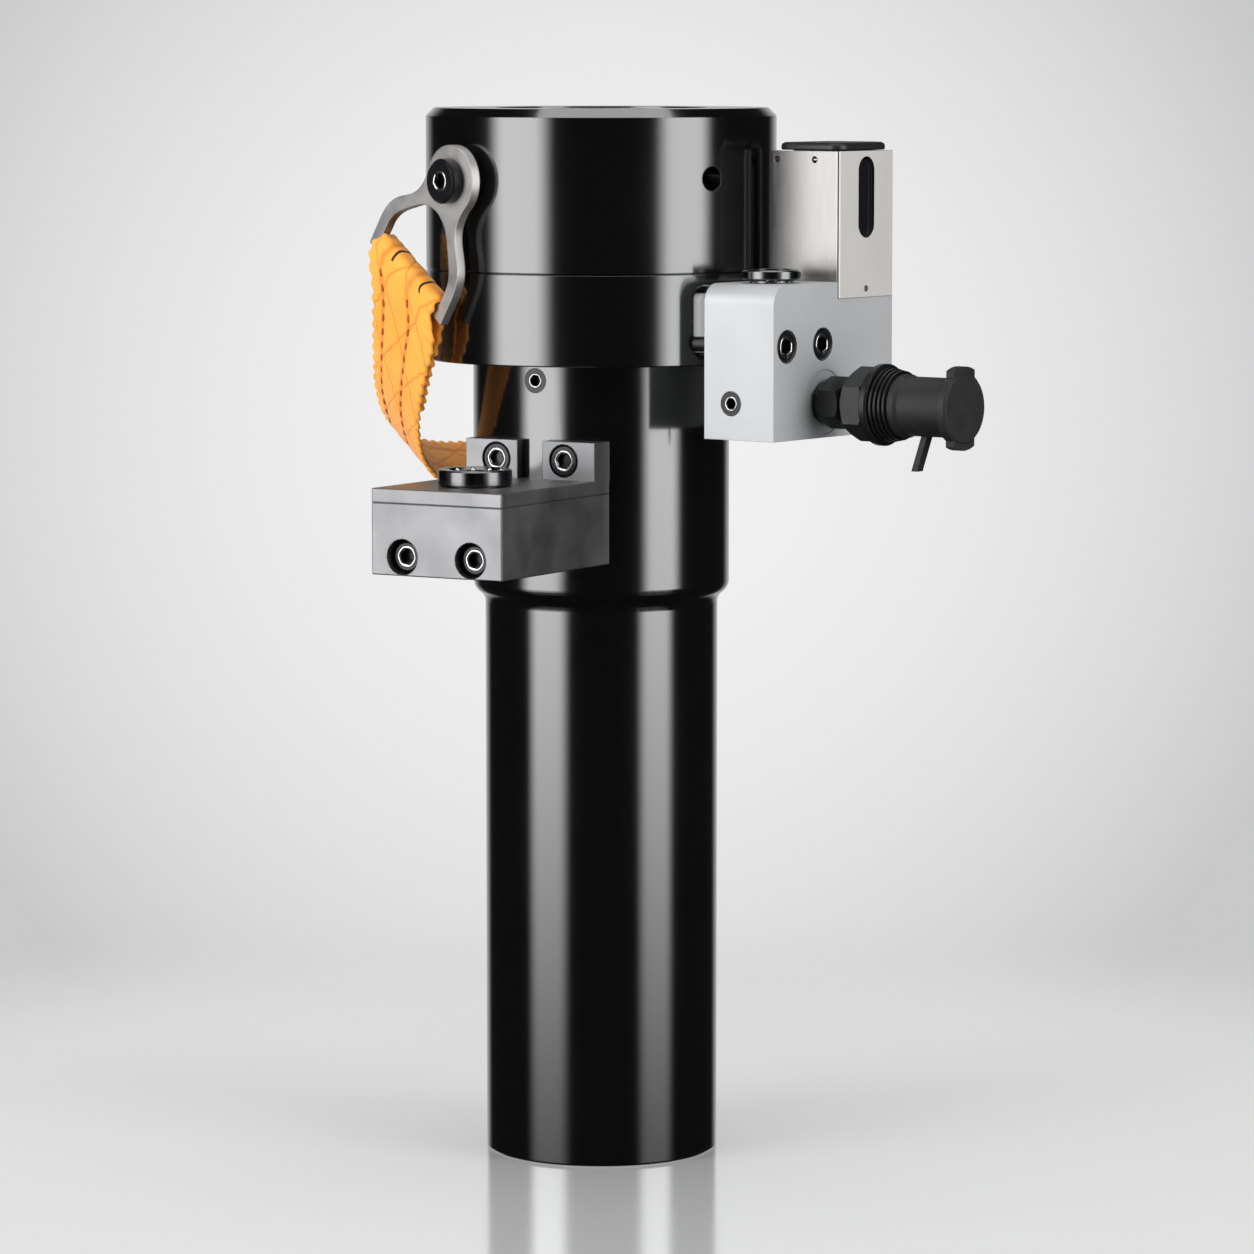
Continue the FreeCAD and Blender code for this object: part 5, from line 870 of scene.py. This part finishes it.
    def crease_shadows(self, nodes: Nodes, split: bpy.types.Node) -> bpy.types.NodeSocket:
        """Paints dark crease shadows, narrow lines in the roll over each bar.

        Args:
            nodes: The material's tree.
            split: The strap's own coordinates, taken apart.

        Returns:
            A mask that is 1 in a painted crease shadow.
        """
        rows = self.stations()
        total = rows[-1][0]
        top = min(rows[:len(rows) // 2], key=lambda row: row[2])[0]
        mask = None
        for centre in (top + 1.8, total - top - 1.8):
            along = nodes.math("ABSOLUTE", nodes.math("SUBTRACT", split.outputs["Y"], centre * MM))
            reach = nodes.ramp(along, 0.0042, 0.0048, 1.0, 0.0)
            for across in self.crease_shadow_places:
                bend = nodes.math("MULTIPLY", nodes.math("MULTIPLY", along, along), 70.0)
                off = nodes.math("SUBTRACT", nodes.math("SUBTRACT", split.outputs["X"], across * MM), bend)
                near = nodes.ramp(nodes.math("ABSOLUTE", off), 0.0006, 0.0009, 1.0, 0.0)
                part = nodes.math("MULTIPLY", near, reach)
                mask = part if mask is None else nodes.math("MAXIMUM", mask, part)
        return mask

    def stitching(self) -> bpy.types.Object:
        """Sews both rows through the doubled webbing.

        Returns:
            The stitches.
        """
        rows = self.stations()
        frame_matrix = self.frame()
        paths = []
        last = len(rows) - 1
        for seam in self.seams:
            path: list[tuple[Vector, Vector]] = []
            for index, (_, w, s, left, right) in enumerate(rows):
                if not self.stitched[0] < s < self.stitched[1]:
                    if len(path) > 3:
                        paths.append(path)
                    path = []
                    continue
                before, after = rows[max(index - 1, 0)], rows[min(index + 1, last)]
                tangent = Vector((after[1] - before[1], 0.0, -(after[2] - before[2]))).normalized()
                outward = Vector((-tangent.z, 0.0, tangent.x))
                across = (left + right) / 2 + (right - left) * seam / self.width
                place = Vector((w, across, -s)) + outward * (self.thick / 2 - 0.3)
                path.append((frame_matrix @ (place * MM), frame_matrix.to_3x3() @ outward))
            if len(path) > 3:
                paths.append(path)
        scatter = Scatter("stitch_rows", THREAD.build(), 0.0062)
        return scatter.make("strap_stitches", Shapes.pill("stitch_shape"), paths, (0.0018, 0.0008, 0.0005))

    def build(self) -> None:
        """Makes the strap and sets it on its body."""
        item = self.webbing()
        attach(item, "carrying_strap")
        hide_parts("carry_strap")
        stitches = self.stitching()
        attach(stitches, "carrying_strap")
        LOG.info("strap: %d faces, %d in its stitches", len(item.data.polygons),
                 len(stitches.data.polygons))


@dataclass
class CounterLid:
    """Moulded lid that covers the whole top of the stainless cover."""

    low: tuple[float, float] = (0.0820, 0.0140)
    high: tuple[float, float] = (0.1150, 0.0510)
    corner: float = 0.0060
    skirt: float = 0.0048
    rest_on: float = 0.4327
    crown: float = 0.4360

    def loop(self, inset: float, height: float) -> list[Place]:
        """Gives a rectangle with round corners.

        Args:
            inset: Distance inside the lid's edge.
            height: Its height.

        Returns:
            The corners' points, all the way round.
        """
        radius = max(self.corner - inset, 0.002)
        middles = ((self.high[0] - inset - radius, self.high[1] - inset - radius),
                   (self.low[0] + inset + radius, self.high[1] - inset - radius),
                   (self.low[0] + inset + radius, self.low[1] + inset + radius),
                   (self.high[0] - inset - radius, self.low[1] + inset + radius))
        points = []
        for quarter, (x, y) in enumerate(middles):
            for index in range(13):
                angle = math.pi / 2 * (quarter + index / 12)
                points.append((x + math.cos(angle) * radius, y + math.sin(angle) * radius, height))
        return points

    def build(self) -> None:
        """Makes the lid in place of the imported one."""
        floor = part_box("gauge_lid")[0][2]
        profile = ((self.skirt, floor), (self.skirt, self.rest_on), (0.0004, self.rest_on),
                   (0.0, self.rest_on + 0.0004), (0.0, self.crown - 0.0014), (0.0004, self.crown - 0.0007),
                   (0.0016, self.crown - 0.0001), (0.0045, self.crown))
        loops = [self.loop(inset, height) for inset, height in profile]
        count = len(loops[0])
        faces = [(a * count + b, a * count + (b + 1) % count, (a + 1) * count + (b + 1) % count,
                  (a + 1) * count + b) for a in range(len(loops) - 1) for b in range(count)]
        faces += [tuple(reversed(range(count))), tuple((len(loops) - 1) * count + b for b in range(count))]
        mesh = bpy.data.meshes.new("counter_lid")
        mesh.from_pydata([point for ring in loops for point in ring], [], faces)
        Shapes.outwards(mesh)
        mesh.materials.append(LID_PLASTIC.build())
        item = bpy.data.objects.new("counter_lid", mesh)
        bpy.context.scene.collection.objects.link(item)
        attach(item, "tool_body")
        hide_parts("gauge_lid")
        LOG.info("counter lid: %d faces", len(faces))


@dataclass
class SpringStack:
    """Disc springs, copied from the imported ones and set on the tool's body."""

    stroke: float = 0.012
    joint: str = "piston_lift"

    def build(self) -> None:
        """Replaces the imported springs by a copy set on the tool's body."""
        mesh = cad_object("disc_springs").data.copy()
        mesh.name = "spring_stack"
        work = bmesh.new()
        work.from_mesh(mesh)
        bmesh.ops.remove_doubles(work, verts=work.verts, dist=0.000001)
        work.to_mesh(mesh)
        work.free()
        item = bpy.data.objects.new("spring_stack", mesh)
        bpy.context.scene.collection.objects.link(item)
        mesh.materials.clear()
        mesh.materials.append(SPRING_STEEL.build())
        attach(item, "tool_body")
        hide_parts("disc_springs")
        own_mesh(item)


@dataclass
class SocketRims:
    """Bright chamfers round the sockets of the visible screws."""

    outer: float = 0.0046
    flats: float = 0.0060
    proud: float = 0.00022
    depth: float = 0.0012
    head: float = 0.0145
    plug_factor: float = 0.68
    screws: tuple[tuple[str, Place], ...] = (
        ("gearbox_front_screws", (0.1253, -0.9921, 0.0)), ("gearbox_lug_screws", (0.1253, -0.9921, 0.0)),
        ("manifold_screws", (1.0, 0.0, 0.0)), ("top_cover_screws", (0.0, 0.0, 1.0)),
        ("hanger_screws", (-0.2062, -0.9785, 0.0)), ("hanger_screws", (0.2062, 0.9785, 0.0)))
    plugs: tuple[tuple[str, Place], ...] = (
        ("port_plug", (0.0, -1.0, 0.0)), ("barrel_plug", (0.1253, -0.9921, 0.0)))

    def heads(self, node: str, axis: Vector) -> list[tuple[Vector, Vector]]:
        """Finds the middle of each head's face.

        Args:
            node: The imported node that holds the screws.
            axis: Direction in which the heads face.

        Returns:
            Places with the direction that they face.
        """
        groups: list[list[Vector]] = []
        for vertex in cad_object(node).data.vertices:
            flat = vertex.co - axis * vertex.co.dot(axis)
            for group in groups:
                first = group[0] - axis * group[0].dot(axis)
                if (flat - first).length < self.head:
                    group.append(vertex.co.copy())
                    break
            else:
                groups.append([vertex.co.copy()])
        across = Vector((1.0, 0.0, 0.0))
        if abs(axis.z) < 0.9:
            across = axis.cross(Vector((0.0, 0.0, 1.0))).normalized()
        up = across.cross(axis)
        found = []
        for group in groups:
            spans = [[point.dot(way) for point in group] for way in (across, up)]
            middle = sum(((min(span) + max(span)) / 2 * way for span, way in zip(spans, (across, up))),
                         Vector())
            found.append((middle + axis * max(point.dot(axis) for point in group), axis))
        return found

    def shape(self) -> bpy.types.Mesh:
        """Makes one rim: round outside, six-sided inside, with a raised crest.

        Returns:
            The rim's mesh, facing +Z.
        """
        count = 36
        rings = []
        profile = ((1.0, -0.0001), (0.95, 0.7 * self.proud), (0.55, self.proud), (0.0, 0.2 * self.proud),
                   (0.0, -self.depth))
        for share, height in profile:
            ring = []
            for index in range(count):
                angle = 2 * math.pi * index / count
                key = self.flats / 2 / math.cos((angle % (math.pi / 3)) - math.pi / 6)
                radius = key + (self.outer - key) * share
                ring.append((math.cos(angle) * radius, math.sin(angle) * radius, height))
            rings.append(ring)
        mesh = bpy.data.meshes.new("rim_shape")
        turns = len(profile)
        faces = [(a * count + b, a * count + (b + 1) % count, (a + 1) % turns * count + (b + 1) % count,
                  (a + 1) % turns * count + b) for a in range(turns) for b in range(count)]
        mesh.from_pydata([point for ring in rings for point in ring], [], faces)
        Shapes.outwards(mesh)
        return mesh

    def build(self) -> None:
        """Sets a rim on every screw."""
        scatter = Scatter("socket_rim_rows", BRIGHT_SOCKET.build())
        sets = (("socket_rims", self.screws, 1.0), ("plug_rims", self.plugs, self.plug_factor))
        for name, rows, factor in sets:
            places = []
            for node, axis in rows:
                places += self.heads(node, Vector(axis).normalized())
            item = scatter.make(name, self.shape(), [places], (factor, factor, 1.0))
            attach(item, "tool_body")
            LOG.info("%s: %d", name, len(places))


def main() -> None:
    """Builds the studio and every piece in order."""
    logging.basicConfig(level=logging.INFO)
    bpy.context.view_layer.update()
    Studio().build()
    Castings().dress()
    Strap().build()
    SocketRims().build()
    SpringStack().build()
    CounterLid().build()
    bpy.context.view_layer.update()


if __name__ == "__main__":
    main()
